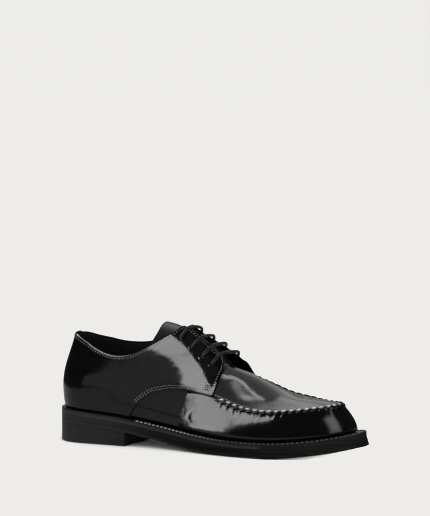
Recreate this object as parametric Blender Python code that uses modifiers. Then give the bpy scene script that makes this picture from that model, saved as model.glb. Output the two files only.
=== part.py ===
"""Right derby shoe with a raised apron seam, modelled piece by piece at its real size.

The shoe stands on the floor plane z = 0, with its toe to +X and its outer side to -Y. Its sections are
worked out in millimetres, by station along the shoe from the back of the heel, and are placed in metres.

Each side of the last hangs on three guide lines: the feather, where the upper meets the sole; the shoulder,
which the apron seam follows; and the ridge, which is the edge of the facing behind the throat and the top of
the vamp ahead of it. A place on a side is a pair (u, v): u runs from 0 at the heel's back to 1 at the toe,
and v from 0 at the feather, through 1 at the shoulder, to 2 at the ridge.
"""
import bpy
import numpy as np

MM = 0.001
OUTER, INNER = -1, 1

# Driving sizes, in millimetres
SHOE_LENGTH = 300.0
WALL = 2.0
GAP = 0.3
SEAT_GAP = 0.8
QUARTER_GAP = 0.5
QUARTER_THICK = 1.2
SEAM_RISE = 1.0
SEAM_START, SEAM_FULL = 2.0, 12.0
WELT_THICK = 4.2
WELT_REACH = 6.0
INSOLE_RISE = 2.6
INSOLE_SETBACK = 3.4
TONGUE_THICK = 1.8
TONGUE_GAP = 0.8
TONGUE_ROOT = 190.0
TONGUE_TIP = 98.0
TONGUE_TIP_BEND = 6.0
LACE_RADIUS = 1.35
HEEL_BREAST = 80.0
BREAST_HOLLOW = 3.0
THROAT_END = 169.0
THROAT_STEP = 3.75
FACING_TOP = 125.0
QUARTER_START = 82.5
TAB = {OUTER: 169.0, INNER: 181.0}
TREAD_START = 172.0

# The two rounded ends: where each fan of sections turns, its share of the sections, its roundness
HEEL_CENTRE, HEEL_SHARE, HEEL_ROUND = 36.0, 0.17, 2.25
TOE_CENTRE, TOE_SHARE, TOE_ROUND = 222.0, 0.32, 2.15

# How far each guide line stops short of the sole's ends, at the back and at the toe
FEATHER_ENDS = (4.5, 7.0)
SHOULDER_ENDS = (2.5, 20.5)
RIDGE_ENDS = (15.5, 60.0)

# Lengths of the handles of the curves from feather to shoulder and from shoulder to ridge
WALL_HANDLE, TOP_HANDLE = 0.38, 0.36

# Rows of the upper from feather to ridge, close together at the apron seam
UPPER_ROWS = (0.0, 0.2, 0.42, 0.64, 0.8, 0.91, 1.0, 1.08, 1.22, 1.38, 1.54, 1.7, 1.85, 2.0)

# Where the edges of the tongue lie on the last, at its tip and at its root, and where its middle begins
TONGUE_EDGE, TONGUE_ROOT_EDGE, TONGUE_MIDDLE = 1.6, 1.7, 1.93

# How far down from its edge a facing lifts off the vamp, and the lowest place of an eyelet
FACING_BEND = 0.7
EYELET_LOW = 1.2

# Spacing of the quarter's sections, closer together where its edge is steep
QUARTER_SPREAD = 1.4

# Edges sharper than this stay crisp, in degrees
CRISP_EDGE = 40.0

# Grooves of a sole edge: share of its height where each one lies, half height and depth in millimetres
OUTSOLE_GROOVES = (0.48,)
HEEL_GROOVES = (0.3, 0.62)
GROOVE_HALF, GROOVE_DEPTH, EDGE_CHAMFER = 0.6, 0.6, 0.7

# Lace bars, top to bottom: stations of the eyelets on each side, and how far they lie from the facing's edge
EYELETS = {OUTER: (126.0, 138.0, 149.0, 158.5), INNER: (130.0, 141.5, 152.0, 162.0)}
EYELET_INSETS = (10.5, 12.3, 13.9, 14.5)
LACE_CROWN = 0.8
LACE_GAP = 0.7


class Table:
    """Sizes at stations along the shoe, read between its rows on a smooth curve."""

    def __init__(self, columns, *rows):
        self.columns = columns.split()
        self.rows = np.array(rows, float)

    def __call__(self, column, station):
        x = self.rows[:, 0]
        y = self.rows[:, self.columns.index(column)]
        width = np.diff(x)
        rise = np.diff(y) / width
        inner = (rise[:-1] * width[1:] + rise[1:] * width[:-1]) / (width[1:] + width[:-1])
        slope = np.concatenate([rise[:1], inner, rise[-1:]])
        station = np.clip(np.asarray(station, float), x[0], x[-1])
        i = np.clip(np.searchsorted(x, station, side="right") - 1, 0, len(width) - 1)
        t = (station - x[i]) / width[i]
        start = (1 + 2 * t) * (1 - t) ** 2 * y[i] + t * (1 - t) ** 2 * width[i] * slope[i]
        end = t * t * (3 - 2 * t) * y[i + 1] - t * t * (1 - t) * width[i] * slope[i + 1]
        return start + end


SOLE_PLAN = Table(
    "station outer_half inner_half centre ledge",
    (0, 35, 35, 0, 4.5),
    (36, 36, 36, 0, 4.5),
    (80, 36, 34, 0, 5),
    (120, 38, 31, 0, 5),
    (160, 45, 36, 0, 5),
    (195, 50.5, 47, 0, 5),
    (222, 51, 51, 0, 5),
    (255, 50, 50, 2, 5.5),
    (300, 49, 49, 5, 6))

SOLE_HEIGHT = Table(
    "station top bottom",
    (0, 31.5, 19),
    (40, 29, 16.5),
    (80, 25.5, 13),
    (100, 22.8, 9.8),
    (120, 20, 6.6),
    (140, 17.3, 3.4),
    (158, 15.2, 1),
    (172, 14, 0),
    (195, 13.2, 0),
    (222, 13.2, 0),
    (240, 14, 1),
    (255, 15.2, 2.4),
    (280, 18.5, 5.7),
    (300, 22, 9.2))

SHOULDER = Table(
    "station outer_inset inner_inset height inner_extra wall_slope top_slope flare",
    (0, -1.5, -1.5, 18, 0, 92, 92, 12),
    (36, -1.5, -1.5, 20, 0, 92, 92, 10),
    (80, 0, 0, 24, 0, 86, 86, 8),
    (120, 2, 2, 30, 0, 78, 78, 8),
    (160, 7, 5, 36.5, 2, 62, 58, 8),
    (175, 9, 6.5, 34, 4, 54, 46, 8),
    (195, 10, 8, 28.5, 6, 50, 40, 8),
    (210, 10, 9, 26.5, 6.5, 48, 32, 8),
    (222, 11, 10, 26, 6.2, 46, 26, 8),
    (240, 12, 11, 26.4, 4, 46, 19, 8),
    (255, 13, 12, 26.8, 2.2, 46, 15, 6),
    (276, 13.5, 12.5, 27, 0.5, 50, 12, -6),
    (300, 14, 13, 27, 0, 52, 10, -14))

RIDGE = Table(
    "station height inner_extra half centre slope",
    (0, 104, 0, 22, 0, 80),
    (36, 106, 0, 22, 0, 80),
    (70, 111.5, 0, 20, 0, 75),
    (100, 113, 0, 12, 1, 50),
    (125, 107.5, 0, 9, 2, 45),
    (140, 99, 1, 8.7, 2.3, 44),
    (150, 91.5, 2, 8, 2.6, 40),
    (160, 83, 3, 6.3, 3, 24),
    (169, 76, 0, 0, 4, 0),
    (177, 73, 0, 0, 5, 0),
    (186, 70.2, 0, 0, 6, 0),
    (195, 66.6, 0, 0, 6, 0),
    (205, 61.8, 0, 0, 7, 0),
    (222, 53.8, 0, 0, 8, 0),
    (240, 49, 0, 0, 6, 0),
    (300, 48, 0, 0, 5, 0))

COLLAR = Table(
    "station outer inner",
    (0, 101.5, 101.5),
    (14, 101.5, 100.5),
    (22, 99.5, 96.5),
    (34, 94, 93.5),
    (46, 88, 91.5),
    (58, 84, 91),
    (69, 82.5, 91.5),
    (82, 84.5, 93.5),
    (94, 90, 97),
    (104, 95.5, 100.5),
    (113, 101, 103.5),
    (125, 107.5, 107.5))

QUARTER_EDGE = Table(
    "station height",
    (82.5, 0.8),
    (88, 11),
    (93.5, 18),
    (99.5, 23.5),
    (108, 29),
    (118.5, 33),
    (129, 35.8),
    (140, 37.3),
    (151, 37.7),
    (162, 37.2),
    (169, 36.3))

FACING = Table(
    "station outer_edge inner_edge outer_lift inner_lift",
    (0, 0, 0, 0, 0),
    (125, 0, 0, 0, 0),
    (140, 0, 0, 0, 0.4),
    (150, 0, 0, 0, 1.8),
    (157, 0, 0, 0.2, 3.4),
    (163, 5, 7.5, 0.4, 5),
    (166, 8, 9, 0.5, 6),
    (169, 16, 10.5, 0.5, 6.5),
    (175, 16, 13, 0.5, 6.5),
    (181, 16, 20, 0.5, 5))

TONGUE = Table(
    "station crown",
    (98, 5),
    (112, 4.5),
    (130, 2.8),
    (150, 1.6),
    (169, 0))


def fan(u, back, tip):
    """Return the station of a section and its share of the full width, rounded off at both ends."""
    u = np.asarray(u, float)
    toe_start = 1 - TOE_SHARE
    heel_turn = np.clip(1 - u / HEEL_SHARE, 0, 1) * np.pi / 2
    toe_turn = np.clip((u - toe_start) / TOE_SHARE, 0, 1) * np.pi / 2
    between = np.clip((u - HEEL_SHARE) / (toe_start - HEEL_SHARE), 0, 1)
    station = HEEL_CENTRE + (TOE_CENTRE - HEEL_CENTRE) * between
    station = station - (HEEL_CENTRE - back) * np.sin(heel_turn) ** (2 / HEEL_ROUND)
    station = station + (tip - TOE_CENTRE) * np.sin(toe_turn) ** (2 / TOE_ROUND)
    heel_width = np.clip(np.cos(heel_turn), 0, 1) ** (2 / HEEL_ROUND)
    toe_width = np.clip(np.cos(toe_turn), 0, 1) ** (2 / TOE_ROUND)
    return station, heel_width * toe_width * (u > 0) * (u < 1)


def section_at(station):
    """Return u for a station between the two fans."""
    share = (np.asarray(station, float) - HEEL_CENTRE) / (TOE_CENTRE - HEEL_CENTRE)
    return HEEL_SHARE + share * (1 - TOE_SHARE - HEEL_SHARE)


def sole_half(side, station):
    return SOLE_PLAN("outer_half" if side == OUTER else "inner_half", station)


def outline(u, side, inset):
    """Return x and y of the sole's outline, drawn in by an inset."""
    x, share = fan(u, inset, SHOE_LENGTH - inset)
    return x, SOLE_PLAN("centre", x) + side * (sole_half(side, x) - inset) * share


def feather(u, side, inset=0.0):
    x, share = fan(u, FEATHER_ENDS[0] + inset, SHOE_LENGTH - FEATHER_ENDS[1] - inset)
    half = sole_half(side, x) - SOLE_PLAN("ledge", x) - inset
    return np.stack([x, SOLE_PLAN("centre", x) + side * half * share, SOLE_HEIGHT("top", x) + SEAT_GAP], -1)


def shoulder(u, side):
    x, share = fan(u, SHOULDER_ENDS[0], SHOE_LENGTH - SHOULDER_ENDS[1])
    inset = SHOULDER("outer_inset" if side == OUTER else "inner_inset", x)
    half = sole_half(side, x) - SOLE_PLAN("ledge", x) - inset
    extra = SHOULDER("inner_extra", x) * share * (side == INNER)
    height = SOLE_HEIGHT("top", x) + SHOULDER("height", x) + extra
    return np.stack([x, SOLE_PLAN("centre", x) + side * half * share, height], -1)


def ridge(u, side):
    x, share = fan(u, RIDGE_ENDS[0], SHOE_LENGTH - RIDGE_ENDS[1])
    half = np.maximum(RIDGE("half", x), 0) * share * (x < THROAT_END - 0.01)
    height = RIDGE("height", x) + RIDGE("inner_extra", x) * (half > 0) * (side == INNER)
    return np.stack([x, RIDGE("centre", x) + side * half, height], -1)


def curve_between(start, start_way, end, end_way, handle, t):
    """Return points on a curve that leaves start and reaches end along the given directions."""
    reach = handle * np.linalg.norm(end - start, axis=-1)[..., None]
    t = t[..., None]
    first, second = start + start_way * reach, end - end_way * reach
    return (1 - t) ** 3 * start + 3 * (1 - t) ** 2 * t * first + 3 * (1 - t) * t * t * second + t ** 3 * end


def last_point(u, v, side):
    """Return the points of the last's surface at (u, v)."""
    u, v = np.broadcast_arrays(np.asarray(u, float), np.asarray(v, float))
    low, mid, high = feather(u, side), shoulder(u, side), ridge(u, side)
    inward = (high - low) * np.array([1.0, 1.0, 0.0])
    inward = inward / np.linalg.norm(inward, axis=-1)[..., None]

    def way(degrees):
        angle = np.radians(degrees)[..., None]
        return inward * np.cos(angle) + np.array([0.0, 0.0, 1.0]) * np.sin(angle)

    leave = way(90 + SHOULDER("flare", low[..., 0]))
    arrive = way(SHOULDER("wall_slope", mid[..., 0]))
    wall = curve_between(low, leave, mid, arrive, WALL_HANDLE, np.clip(v, 0, 1))
    leave = way(SHOULDER("top_slope", mid[..., 0]))
    arrive = way(RIDGE("slope", high[..., 0]))
    top = curve_between(mid, leave, high, arrive, TOP_HANDLE, np.clip(v - 1, 0, 1))
    return np.where((v <= 1)[..., None], wall, top)


def skin(u, v, side, out):
    """Return points that stand a distance out from the last along its normal."""
    u, v = np.broadcast_arrays(np.asarray(u, float), np.asarray(v, float))
    step = 0.002
    du = np.where(u > 0.5, -step, step)
    dv = np.where(v > 1.5, -step, step)
    here = last_point(u, v, side)
    along = (last_point(u + du, v, side) - here) / du[..., None]
    upward = (last_point(u, v + dv, side) - here) / dv[..., None]
    normal = np.cross(along, upward) * -side
    normal = normal / np.linalg.norm(normal, axis=-1)[..., None]
    return here + normal * np.asarray(out)[..., None]


def rise_to(u, side, wanted, low, high):
    """Return the v at which the last first reaches the height that wanted gives for a point."""
    low = np.full(np.shape(u), float(low))
    high = np.full(np.shape(u), float(high))
    for _ in range(40):
        mid = (low + high) / 2
        point = last_point(u, mid, side)
        below = point[..., 2] < wanted(point[..., 0])
        low = np.where(below, mid, low)
        high = np.where(below, high, mid)
    return (low + high) / 2


def collar_v(u, side):
    """Return v along the top of the upper: the collar, then the facing edge, then the ridge."""
    column = "outer" if side == OUTER else "inner"
    at_collar = rise_to(u, side, lambda x: COLLAR(column, x), 1, 2)
    return np.where(ridge(u, side)[..., 0] < FACING_TOP, at_collar, 2.0)


def facing_v(u, side):
    """Return v along the inner edge of a facing, which rounds away from the throat at its front."""
    edge = FACING("outer_edge" if side == OUTER else "inner_edge", ridge(u, side)[..., 0])
    low = np.full(np.shape(u), 1.0)
    high = np.full(np.shape(u), 2.0)
    for _ in range(40):
        mid = (low + high) / 2
        point = last_point(u, mid, side)
        outside = np.abs(point[..., 1] - RIDGE("centre", point[..., 0])) >= edge
        low = np.where(outside, mid, low)
        high = np.where(outside, high, mid)
    return (low + high) / 2


def even_rows(u, side, low, high, count):
    """Return rows of v that part each section from low to high into even lengths."""
    tries = np.linspace(low, high, 60)
    points = last_point(np.broadcast_to(u, tries.shape), tries, side)
    length = np.linalg.norm(np.diff(points, axis=0), axis=-1).cumsum(axis=0)
    length = np.concatenate([np.zeros((1, len(u))), length]) / length[-1]
    shares = np.linspace(0, 1, count)
    return np.stack([np.interp(shares, length[:, i], tries[:, i]) for i in range(len(u))], -1)


def smooth_step(value, start, end):
    t = np.clip((np.asarray(value, float) - start) / (end - start), 0, 1)
    return t * t * (3 - 2 * t)


def both_sides(outer, inner):
    """Join a side's points, heel to toe, with the other side's, toe to heel, into one ring."""
    return np.concatenate([outer, inner[-2:0:-1]])


def frame_middle():
    """Return the middle of the sole's outline, which is the origin of the part."""
    u = np.linspace(0, 1, 401)
    y = np.concatenate([outline(u, side, 0)[1] for side in (OUTER, INNER)])
    return np.array([SHOE_LENGTH / 2, (y.min() + y.max()) / 2, 0])


MIDDLE = frame_middle()


def add_object(name, data, material):
    """Link new mesh or curve data to the scene as a piece of the shoe."""
    piece = bpy.data.objects.new(name, data)
    data.materials.append(material)
    bpy.data.collections["derby_shoe"].objects.link(piece)
    return piece


def add_mesh(name, points, faces, material):
    mesh = bpy.data.meshes.new(name)
    placed = (np.asarray(points) - MIDDLE) * MM
    mesh.from_pydata([tuple(p) for p in placed], [], faces)
    mesh.validate()
    mesh.shade_smooth()
    mesh.set_sharp_from_angle(angle=np.radians(CRISP_EDGE))
    return add_object(name, mesh, material)


def grid_faces(rows, columns, ring):
    """Return the quads of a grid whose rows are rings or open lines."""
    faces = []
    for r in range(rows - 1):
        for c in range(columns if ring else columns - 1):
            d = (c + 1) % columns
            faces.append((r * columns + c, r * columns + d, (r + 1) * columns + d, (r + 1) * columns + c))
    return faces


def weld(points, faces):
    """Merge points that coincide and drop the corners that this takes from faces."""
    keys = {}
    kept = []
    index = []
    for point in points:
        key = tuple(np.round(point, 3))
        if key not in keys:
            keys[key] = len(kept)
            kept.append(point)
        index.append(keys[key])
    merged = []
    for face in faces:
        corners = list(dict.fromkeys(index[i] for i in face))
        if len(corners) > 2:
            merged.append(tuple(corners))
    return kept, merged


def add_shell(name, rows, ring, thickness, material):
    """Make an open surface from rows of points and thicken it inwards."""
    points, faces = weld(np.concatenate(rows), grid_faces(len(rows), len(rows[0]), ring))
    piece = add_mesh(name, points, faces, material)
    shell = piece.modifiers.new("wall", "SOLIDIFY")
    shell.thickness = thickness * MM
    shell.offset = -1
    shell.use_even_offset = True
    shell.use_quality_normals = True
    return piece


def cap_faces(first, count, ends_meet):
    """Return the strip of faces across a ring, pairing its two sides from the back to the front.

    The ring's points are an outer line of count points and an inner line back again. The lines share their
    ends, or only their start when ends_meet is false.
    """
    total = 2 * count - 2 if ends_meet else 2 * count - 1
    faces = []
    for i in range(count - 1):
        corners = [i, i + 1, total - i - 1, total - i]
        faces.append(tuple(first + c for c in dict.fromkeys(c % total for c in corners)))
    return faces


def add_loft(name, rings, count, ends_meet, material):
    """Make a closed solid through rings of points, from the top ring down to the bottom one."""
    size = len(rings[0])
    sides = grid_faces(len(rings), size, True)
    faces = [face[::-1] for face in sides]
    faces += cap_faces(0, count, ends_meet)
    faces += [face[::-1] for face in cap_faces((len(rings) - 1) * size, count, ends_meet)]
    return add_mesh(name, np.concatenate(rings), faces, material)


def finish(name, colour, roughness):
    material = bpy.data.materials.new(name)
    material.use_nodes = True
    shader = material.node_tree.nodes["Principled BSDF"]
    shader.inputs["Base Color"].default_value = (*colour, 1)
    shader.inputs["Roughness"].default_value = roughness
    shader.inputs["Metallic"].default_value = 0
    return material


def side_sections():
    """Return the sections of one side of the upper, close together at the ends and at the throat."""
    heel = np.linspace(0, HEEL_SHARE, 7)[:-1]
    back = section_at(np.linspace(HEEL_CENTRE, THROAT_END - 2 * THROAT_STEP, 16))
    throat = section_at(np.array([THROAT_END - THROAT_STEP]))
    front = section_at(np.linspace(THROAT_END, TOE_CENTRE, 7))
    toe = np.linspace(1 - TOE_SHARE, 1, 11)[1:]
    return np.concatenate([heel, back, throat, front, toe])


def make_upper():
    """Hollow wall of vamp, apron and lining, open at the collar, down the throat and underneath."""
    u = side_sections()
    rows = []
    for row in UPPER_ROWS:
        halves = []
        for side in (OUTER, INNER):
            top = collar_v(u, side)
            v = np.where(row <= 1, row, 1 + (row - 1) * (top - 1))
            station = shoulder(u, side)[..., 0]
            seam = smooth_step(station, TAB[side] + SEAM_START, TAB[side] + SEAM_FULL)
            halves.append(skin(u, v, side, SEAM_RISE * (row == 1.0) * seam))
        rows.append(both_sides(*halves))
    return add_shell("upper", rows, True, WALL, finish("vamp_leather", (0.012, 0.012, 0.013), 0.28))


def quarter_sections(side):
    heel = np.linspace(0, HEEL_SHARE, 8)[:-1]
    counter = section_at(np.linspace(HEEL_CENTRE, QUARTER_START, 7)[:-1])
    spread = np.linspace(0, 1, 16) ** QUARTER_SPREAD
    facing = section_at(QUARTER_START + (TAB[side] - QUARTER_START) * spread)
    return np.concatenate([heel, counter, facing])


def quarter_top(u, side):
    return np.minimum(collar_v(u, side), facing_v(u, side))


def quarter_skin(u, v, side, out):
    """Return points out from a quarter's face, which lifts off the vamp towards the front of the facing."""
    lift = FACING("outer_lift" if side == OUTER else "inner_lift", ridge(u, side)[..., 0])
    edge = facing_v(u, side)
    lift = lift * smooth_step(v, edge - FACING_BEND, edge)
    return skin(u, v, side, QUARTER_GAP + QUARTER_THICK + lift + out)


def make_quarter(name, side):
    """Quarter that wraps one side from the back seam to the tab, over the upper."""
    u = quarter_sections(side)
    pull = (TAB[OUTER] - QUARTER_START) / (TAB[side] - QUARTER_START)

    def edge(x):
        return SOLE_HEIGHT("top", x) + QUARTER_EDGE("height", QUARTER_START + (x - QUARTER_START) * pull)

    low = np.where(shoulder(u, side)[..., 0] < QUARTER_START + 0.1, 0, rise_to(u, side, edge, 0, 2))
    rows = []
    for v in even_rows(u, side, low, quarter_top(u, side), 10):
        points = quarter_skin(u, v, side, 0)
        points[0, 1] = side * GAP
        rows.append(points[::-side])
    leather = finish(name + "_leather", (0.012, 0.012, 0.013), 0.28)
    return add_shell(name, rows, False, QUARTER_THICK, leather)


def make_tongue():
    """Tongue under the facings, from the vamp up past the top of the throat."""
    depth = -(WALL + TONGUE_GAP)
    rows = []
    for share in np.linspace(0, 1, 13):
        halves = []
        for side in (OUTER, INNER):
            edge = TONGUE_EDGE + (TONGUE_ROOT_EDGE - TONGUE_EDGE) * share
            v = np.linspace(edge, TONGUE_MIDDLE, 5)
            top_end = TONGUE_TIP + TONGUE_TIP_BEND * smooth_step(v, TONGUE_EDGE, TONGUE_MIDDLE)
            u = section_at(top_end + (TONGUE_ROOT - top_end) * share)
            halves.append(skin(u, v, side, np.full(5, depth)))
        outer, inner = halves
        crown = TONGUE("crown", outer[-1, 0])
        across = np.linspace(0, 1, 7)[1:-1, None]
        bridge = outer[-1] * (1 - across) + inner[-1] * across
        bridge[:, 2] += 4 * crown * (across * (1 - across))[:, 0]
        rows.append(np.concatenate([outer, bridge, inner[::-1]])[::-1])
    leather = finish("tongue_leather", (0.012, 0.012, 0.013), 0.4)
    return add_shell("tongue", rows, False, TONGUE_THICK, leather)


def sole_sections():
    heel = np.linspace(0, HEEL_SHARE, 8)[:-1]
    waist = section_at(np.linspace(HEEL_CENTRE, TREAD_START, 12)[:-1])
    ball = section_at(np.linspace(TREAD_START, TOE_CENTRE, 6))
    toe = np.linspace(1 - TOE_SHARE, 1, 12)[1:]
    return np.concatenate([heel, waist, ball, toe])


def level(ring, heights):
    """Give a flat ring of x and y its heights, from a function of the station."""
    x, y = ring
    return np.stack([x, y, heights(x)], -1)


def outline_ring(u, inset, heights):
    return both_sides(*(level(outline(u, side, inset), heights) for side in (OUTER, INNER)))


def feather_ring(u, inset, heights):
    return both_sides(*(level(feather(u, side, inset)[..., :2].T, heights) for side in (OUTER, INNER)))


def welt_top(x):
    return SOLE_HEIGHT("top", x)


def outsole_top(x):
    return welt_top(x) - WELT_THICK - GAP


def outsole_bottom(x):
    return np.maximum(SOLE_HEIGHT("bottom", x), 0)


def edge_profile(grooves):
    """Return the steps down a sole edge as (inset, share of the height, millimetres further down)."""
    steps = [(EDGE_CHAMFER, 0, 0), (0, 0, EDGE_CHAMFER)]
    for share in grooves:
        steps += [(0, share, -GROOVE_HALF), (GROOVE_DEPTH, share, 0), (0, share, GROOVE_HALF)]
    return steps + [(0, 1, -EDGE_CHAMFER), (EDGE_CHAMFER, 1, 0)]


def stepped_height(top, bottom, share, drop):
    return lambda x: top(x) + (bottom(x) - top(x)) * share - drop


def make_welt():
    """Ring of welt that the upper stands on, flush with the sole edge and reaching in under the wall."""
    u = sole_sections()
    inner = WELT_REACH

    def base(x):
        return welt_top(x) - WELT_THICK

    rings = [
        feather_ring(u, inner, welt_top),
        outline_ring(u, EDGE_CHAMFER, welt_top),
        outline_ring(u, 0, stepped_height(welt_top, base, 0, EDGE_CHAMFER)),
        outline_ring(u, 0, stepped_height(welt_top, base, 1, -EDGE_CHAMFER)),
        outline_ring(u, EDGE_CHAMFER, base),
        feather_ring(u, inner, base)]
    size = len(rings[0])
    faces = [face[::-1] for face in grid_faces(len(rings) + 1, size, True)]
    faces = [tuple(corner % (size * len(rings)) for corner in face) for face in faces]
    leather = finish("welt_leather", (0.014, 0.014, 0.015), 0.45)
    return add_mesh("welt", np.concatenate(rings), faces, leather)


def make_outsole():
    """Outsole with its arch, toe spring and grooved edge."""
    u = sole_sections()
    rings = [
        outline_ring(u, inset, stepped_height(outsole_top, outsole_bottom, share, drop))
        for inset, share, drop in edge_profile(OUTSOLE_GROOVES)]
    return add_loft("outsole", rings, len(u), True, finish("sole_rubber", (0.018, 0.018, 0.019), 0.5))


def make_insole():
    """Insole that fills the ring of the welt and spreads over it to the wall of the upper."""
    u = sole_sections()
    seat = WELT_REACH + 2 * GAP
    rings = [
        feather_ring(u, INSOLE_SETBACK, lambda x: welt_top(x) + INSOLE_RISE),
        feather_ring(u, INSOLE_SETBACK, lambda x: welt_top(x) + GAP),
        feather_ring(u, seat, lambda x: welt_top(x) + GAP),
        feather_ring(u, seat, lambda x: outsole_top(x) + GAP)]
    return add_loft("insole", rings, len(u), True, finish("insole_leather", (0.02, 0.019, 0.018), 0.6))


def make_heel():
    """Heel block under the back of the outsole, with a hollowed breast and grooves of its lifts."""
    u = np.concatenate([
        np.linspace(0, HEEL_SHARE, 8)[:-1],
        section_at(np.linspace(HEEL_CENTRE, HEEL_BREAST, 5))])

    def top(x):
        return outsole_bottom(x) - GAP

    def floor(x):
        return np.zeros(np.shape(x))

    across = np.cos(np.linspace(0, np.pi, 9))[1:-1]
    rings = []
    for inset, share, drop in edge_profile(HEEL_GROOVES):
        heights = stepped_height(top, floor, share, drop)
        outer = level(outline(u, OUTER, inset), heights)
        inner = level(outline(u, INNER, inset), heights)
        outer[-1, 0] = inner[-1, 0] = HEEL_BREAST - inset
        middle, half = (inner[-1, 1] + outer[-1, 1]) / 2, (inner[-1, 1] - outer[-1, 1]) / 2
        breast_x = HEEL_BREAST - inset - BREAST_HOLLOW * (1 - across ** 2)
        breast = np.stack([breast_x, middle - half * across, heights(breast_x)], -1)
        rings.append(np.concatenate([outer, breast, inner[:0:-1]]))
    size, count = len(rings[0]), len(u)
    faces = [face[::-1] for face in grid_faces(len(rings), size, True)]
    for first, flip in ((0, 1), ((len(rings) - 1) * size, -1)):
        strip = [(i, i + 1, size - i - 1, size - i) for i in range(1, count - 2)]
        strip.append((0, 1, size - 1))
        strip.append(tuple(range(count - 2, size - count + 3)))
        faces += [tuple(first + c for c in face)[::flip] for face in strip]
    points = np.concatenate(rings)
    return add_mesh("heel", points, faces, finish("heel_rubber", (0.018, 0.018, 0.019), 0.5))


def eyelet_v(u, side, inset):
    """Return v at a distance from the edge of the facing."""
    v = np.linspace(EYELET_LOW, float(facing_v(u, side)), 141)
    points = last_point(np.full(len(v), u), v, side)
    to_edge = np.linalg.norm(np.diff(points, axis=0), axis=1)[::-1].cumsum()[::-1]
    return v[np.argmin(np.abs(to_edge - inset))]


def make_lace_bar(number, stations, inset, material):
    """One bar of round lace from eyelet to eyelet, over both facings and the tongue."""
    halves = []
    for side, station in zip((OUTER, INNER), stations):
        u = section_at(station)
        v = np.linspace(eyelet_v(u, side, inset), float(facing_v(u, side)), 6)
        halves.append(quarter_skin(np.full(len(v), u), v, side, LACE_RADIUS + LACE_GAP))
    outer, inner = halves
    across = np.linspace(0, 1, 6)[1:-1, None]
    bridge = outer[-1] * (1 - across) + inner[-1] * across
    bridge[:, 2] += 4 * LACE_CROWN * (across * (1 - across))[:, 0]
    route = np.concatenate([outer, bridge, inner[::-1]])
    curve = bpy.data.curves.new(f"lace_bar_{number}", "CURVE")
    curve.dimensions = "3D"
    curve.bevel_depth = LACE_RADIUS * MM
    curve.bevel_resolution = 2
    curve.use_fill_caps = True
    line = curve.splines.new("POLY")
    line.points.add(len(route) - 1)
    for point, place in zip(line.points, (route - MIDDLE) * MM):
        point.co = (*place, 1)
    return add_object(f"lace_bar_{number}", curve, material)


def main():
    for old in list(bpy.data.objects):
        bpy.data.objects.remove(old)
    shoe = bpy.data.collections.new("derby_shoe")
    bpy.context.scene.collection.children.link(shoe)
    make_outsole()
    make_heel()
    make_welt()
    make_insole()
    make_upper()
    make_quarter("quarter_outer", OUTER)
    make_quarter("quarter_inner", INNER)
    make_tongue()
    cord = finish("lace_cord", (0.012, 0.012, 0.012), 0.7)
    pairs = zip(EYELETS[OUTER], EYELETS[INNER])
    for number, (stations, inset) in enumerate(zip(pairs, EYELET_INSETS), 1):
        make_lace_bar(number, stations, inset, cord)


main()
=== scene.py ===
"""Looks of a black derby shoe: polished leather, a hand-sewn apron seam, stitch rows, lace, welt and sole.

Shapes are worked out in millimetres by station along the shoe, from the back of the heel, and are placed in
metres in the part's own frame. A place on a side of the last is a pair (u, v): u runs from 0 at the heel's
back to 1 at the toe, and v from 0 at the feather, through 1 at the shoulder, to 2 at the ridge.
"""
import math
from functools import lru_cache

import bmesh
import bpy
import numpy as np
from bpy.props import FloatProperty, FloatVectorProperty, PointerProperty
from mathutils import Matrix, Vector
from mathutils.bvhtree import BVHTree


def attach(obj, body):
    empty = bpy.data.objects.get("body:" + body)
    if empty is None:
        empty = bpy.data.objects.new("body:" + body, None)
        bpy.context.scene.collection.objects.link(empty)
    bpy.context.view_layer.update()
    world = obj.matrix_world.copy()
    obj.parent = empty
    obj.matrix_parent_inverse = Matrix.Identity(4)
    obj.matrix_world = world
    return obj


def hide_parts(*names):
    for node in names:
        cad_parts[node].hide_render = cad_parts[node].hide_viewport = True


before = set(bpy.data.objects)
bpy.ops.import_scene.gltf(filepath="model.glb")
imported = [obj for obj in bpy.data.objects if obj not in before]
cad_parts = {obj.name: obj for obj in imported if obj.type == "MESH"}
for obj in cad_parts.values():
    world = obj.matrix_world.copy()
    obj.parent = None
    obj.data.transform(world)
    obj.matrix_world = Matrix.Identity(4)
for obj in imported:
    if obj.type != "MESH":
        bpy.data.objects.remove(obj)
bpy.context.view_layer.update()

bl_info = {
    "name": "Derby Shoe Looks",
    "version": (1, 0, 0),
    "blender": (4, 5, 0),
    "location": "View3D > Sidebar > Shoe",
    "description": "Makes the visible pieces, finishes and stage of a black derby shoe",
    "category": "Add Mesh",
}

MM = 0.001
OUTER, INNER = -1, 1
SIDES = (OUTER, INNER)
SIDE_NAMES = {OUTER: "outer", INNER: "inner"}

# Sizes of the part that the looks are built on, in millimetres
SHOE_LENGTH = 300.0
WALL = 2.0
SEAT_GAP = 0.8
QUARTER_GAP = 0.5
QUARTER_THICK = 1.2
WELT_THICK = 4.2
WELT_REACH = 6.0
SOLE_GAP = 0.3
INSOLE_RISE = 2.6
INSOLE_SETBACK = 3.4
TONGUE_THICK = 1.8
TONGUE_GAP = 0.8
TONGUE_ROOT, TONGUE_TIP, TONGUE_TIP_BEND = 190.0, 99.0, 6.0
TONGUE_EDGE, TONGUE_ROOT_EDGE, TONGUE_MIDDLE = 1.6, 1.7, 1.93
LACE_CROWN = 0.8
HEEL_BREAST = 80.0
BREAST_HOLLOW = 3.0
THROAT_END = 169.0
FACING_TOP = 125.0
FACING_BEND = 0.7
QUARTER_START = 82.5
TAB = {OUTER: 169.0, INNER: 181.0}
HEEL_CENTRE, HEEL_SHARE, HEEL_ROUND = 36.0, 0.17, 2.25
TOE_CENTRE, TOE_SHARE, TOE_ROUND = 222.0, 0.32, 2.15
FEATHER_ENDS = (4.5, 7.0)
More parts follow.
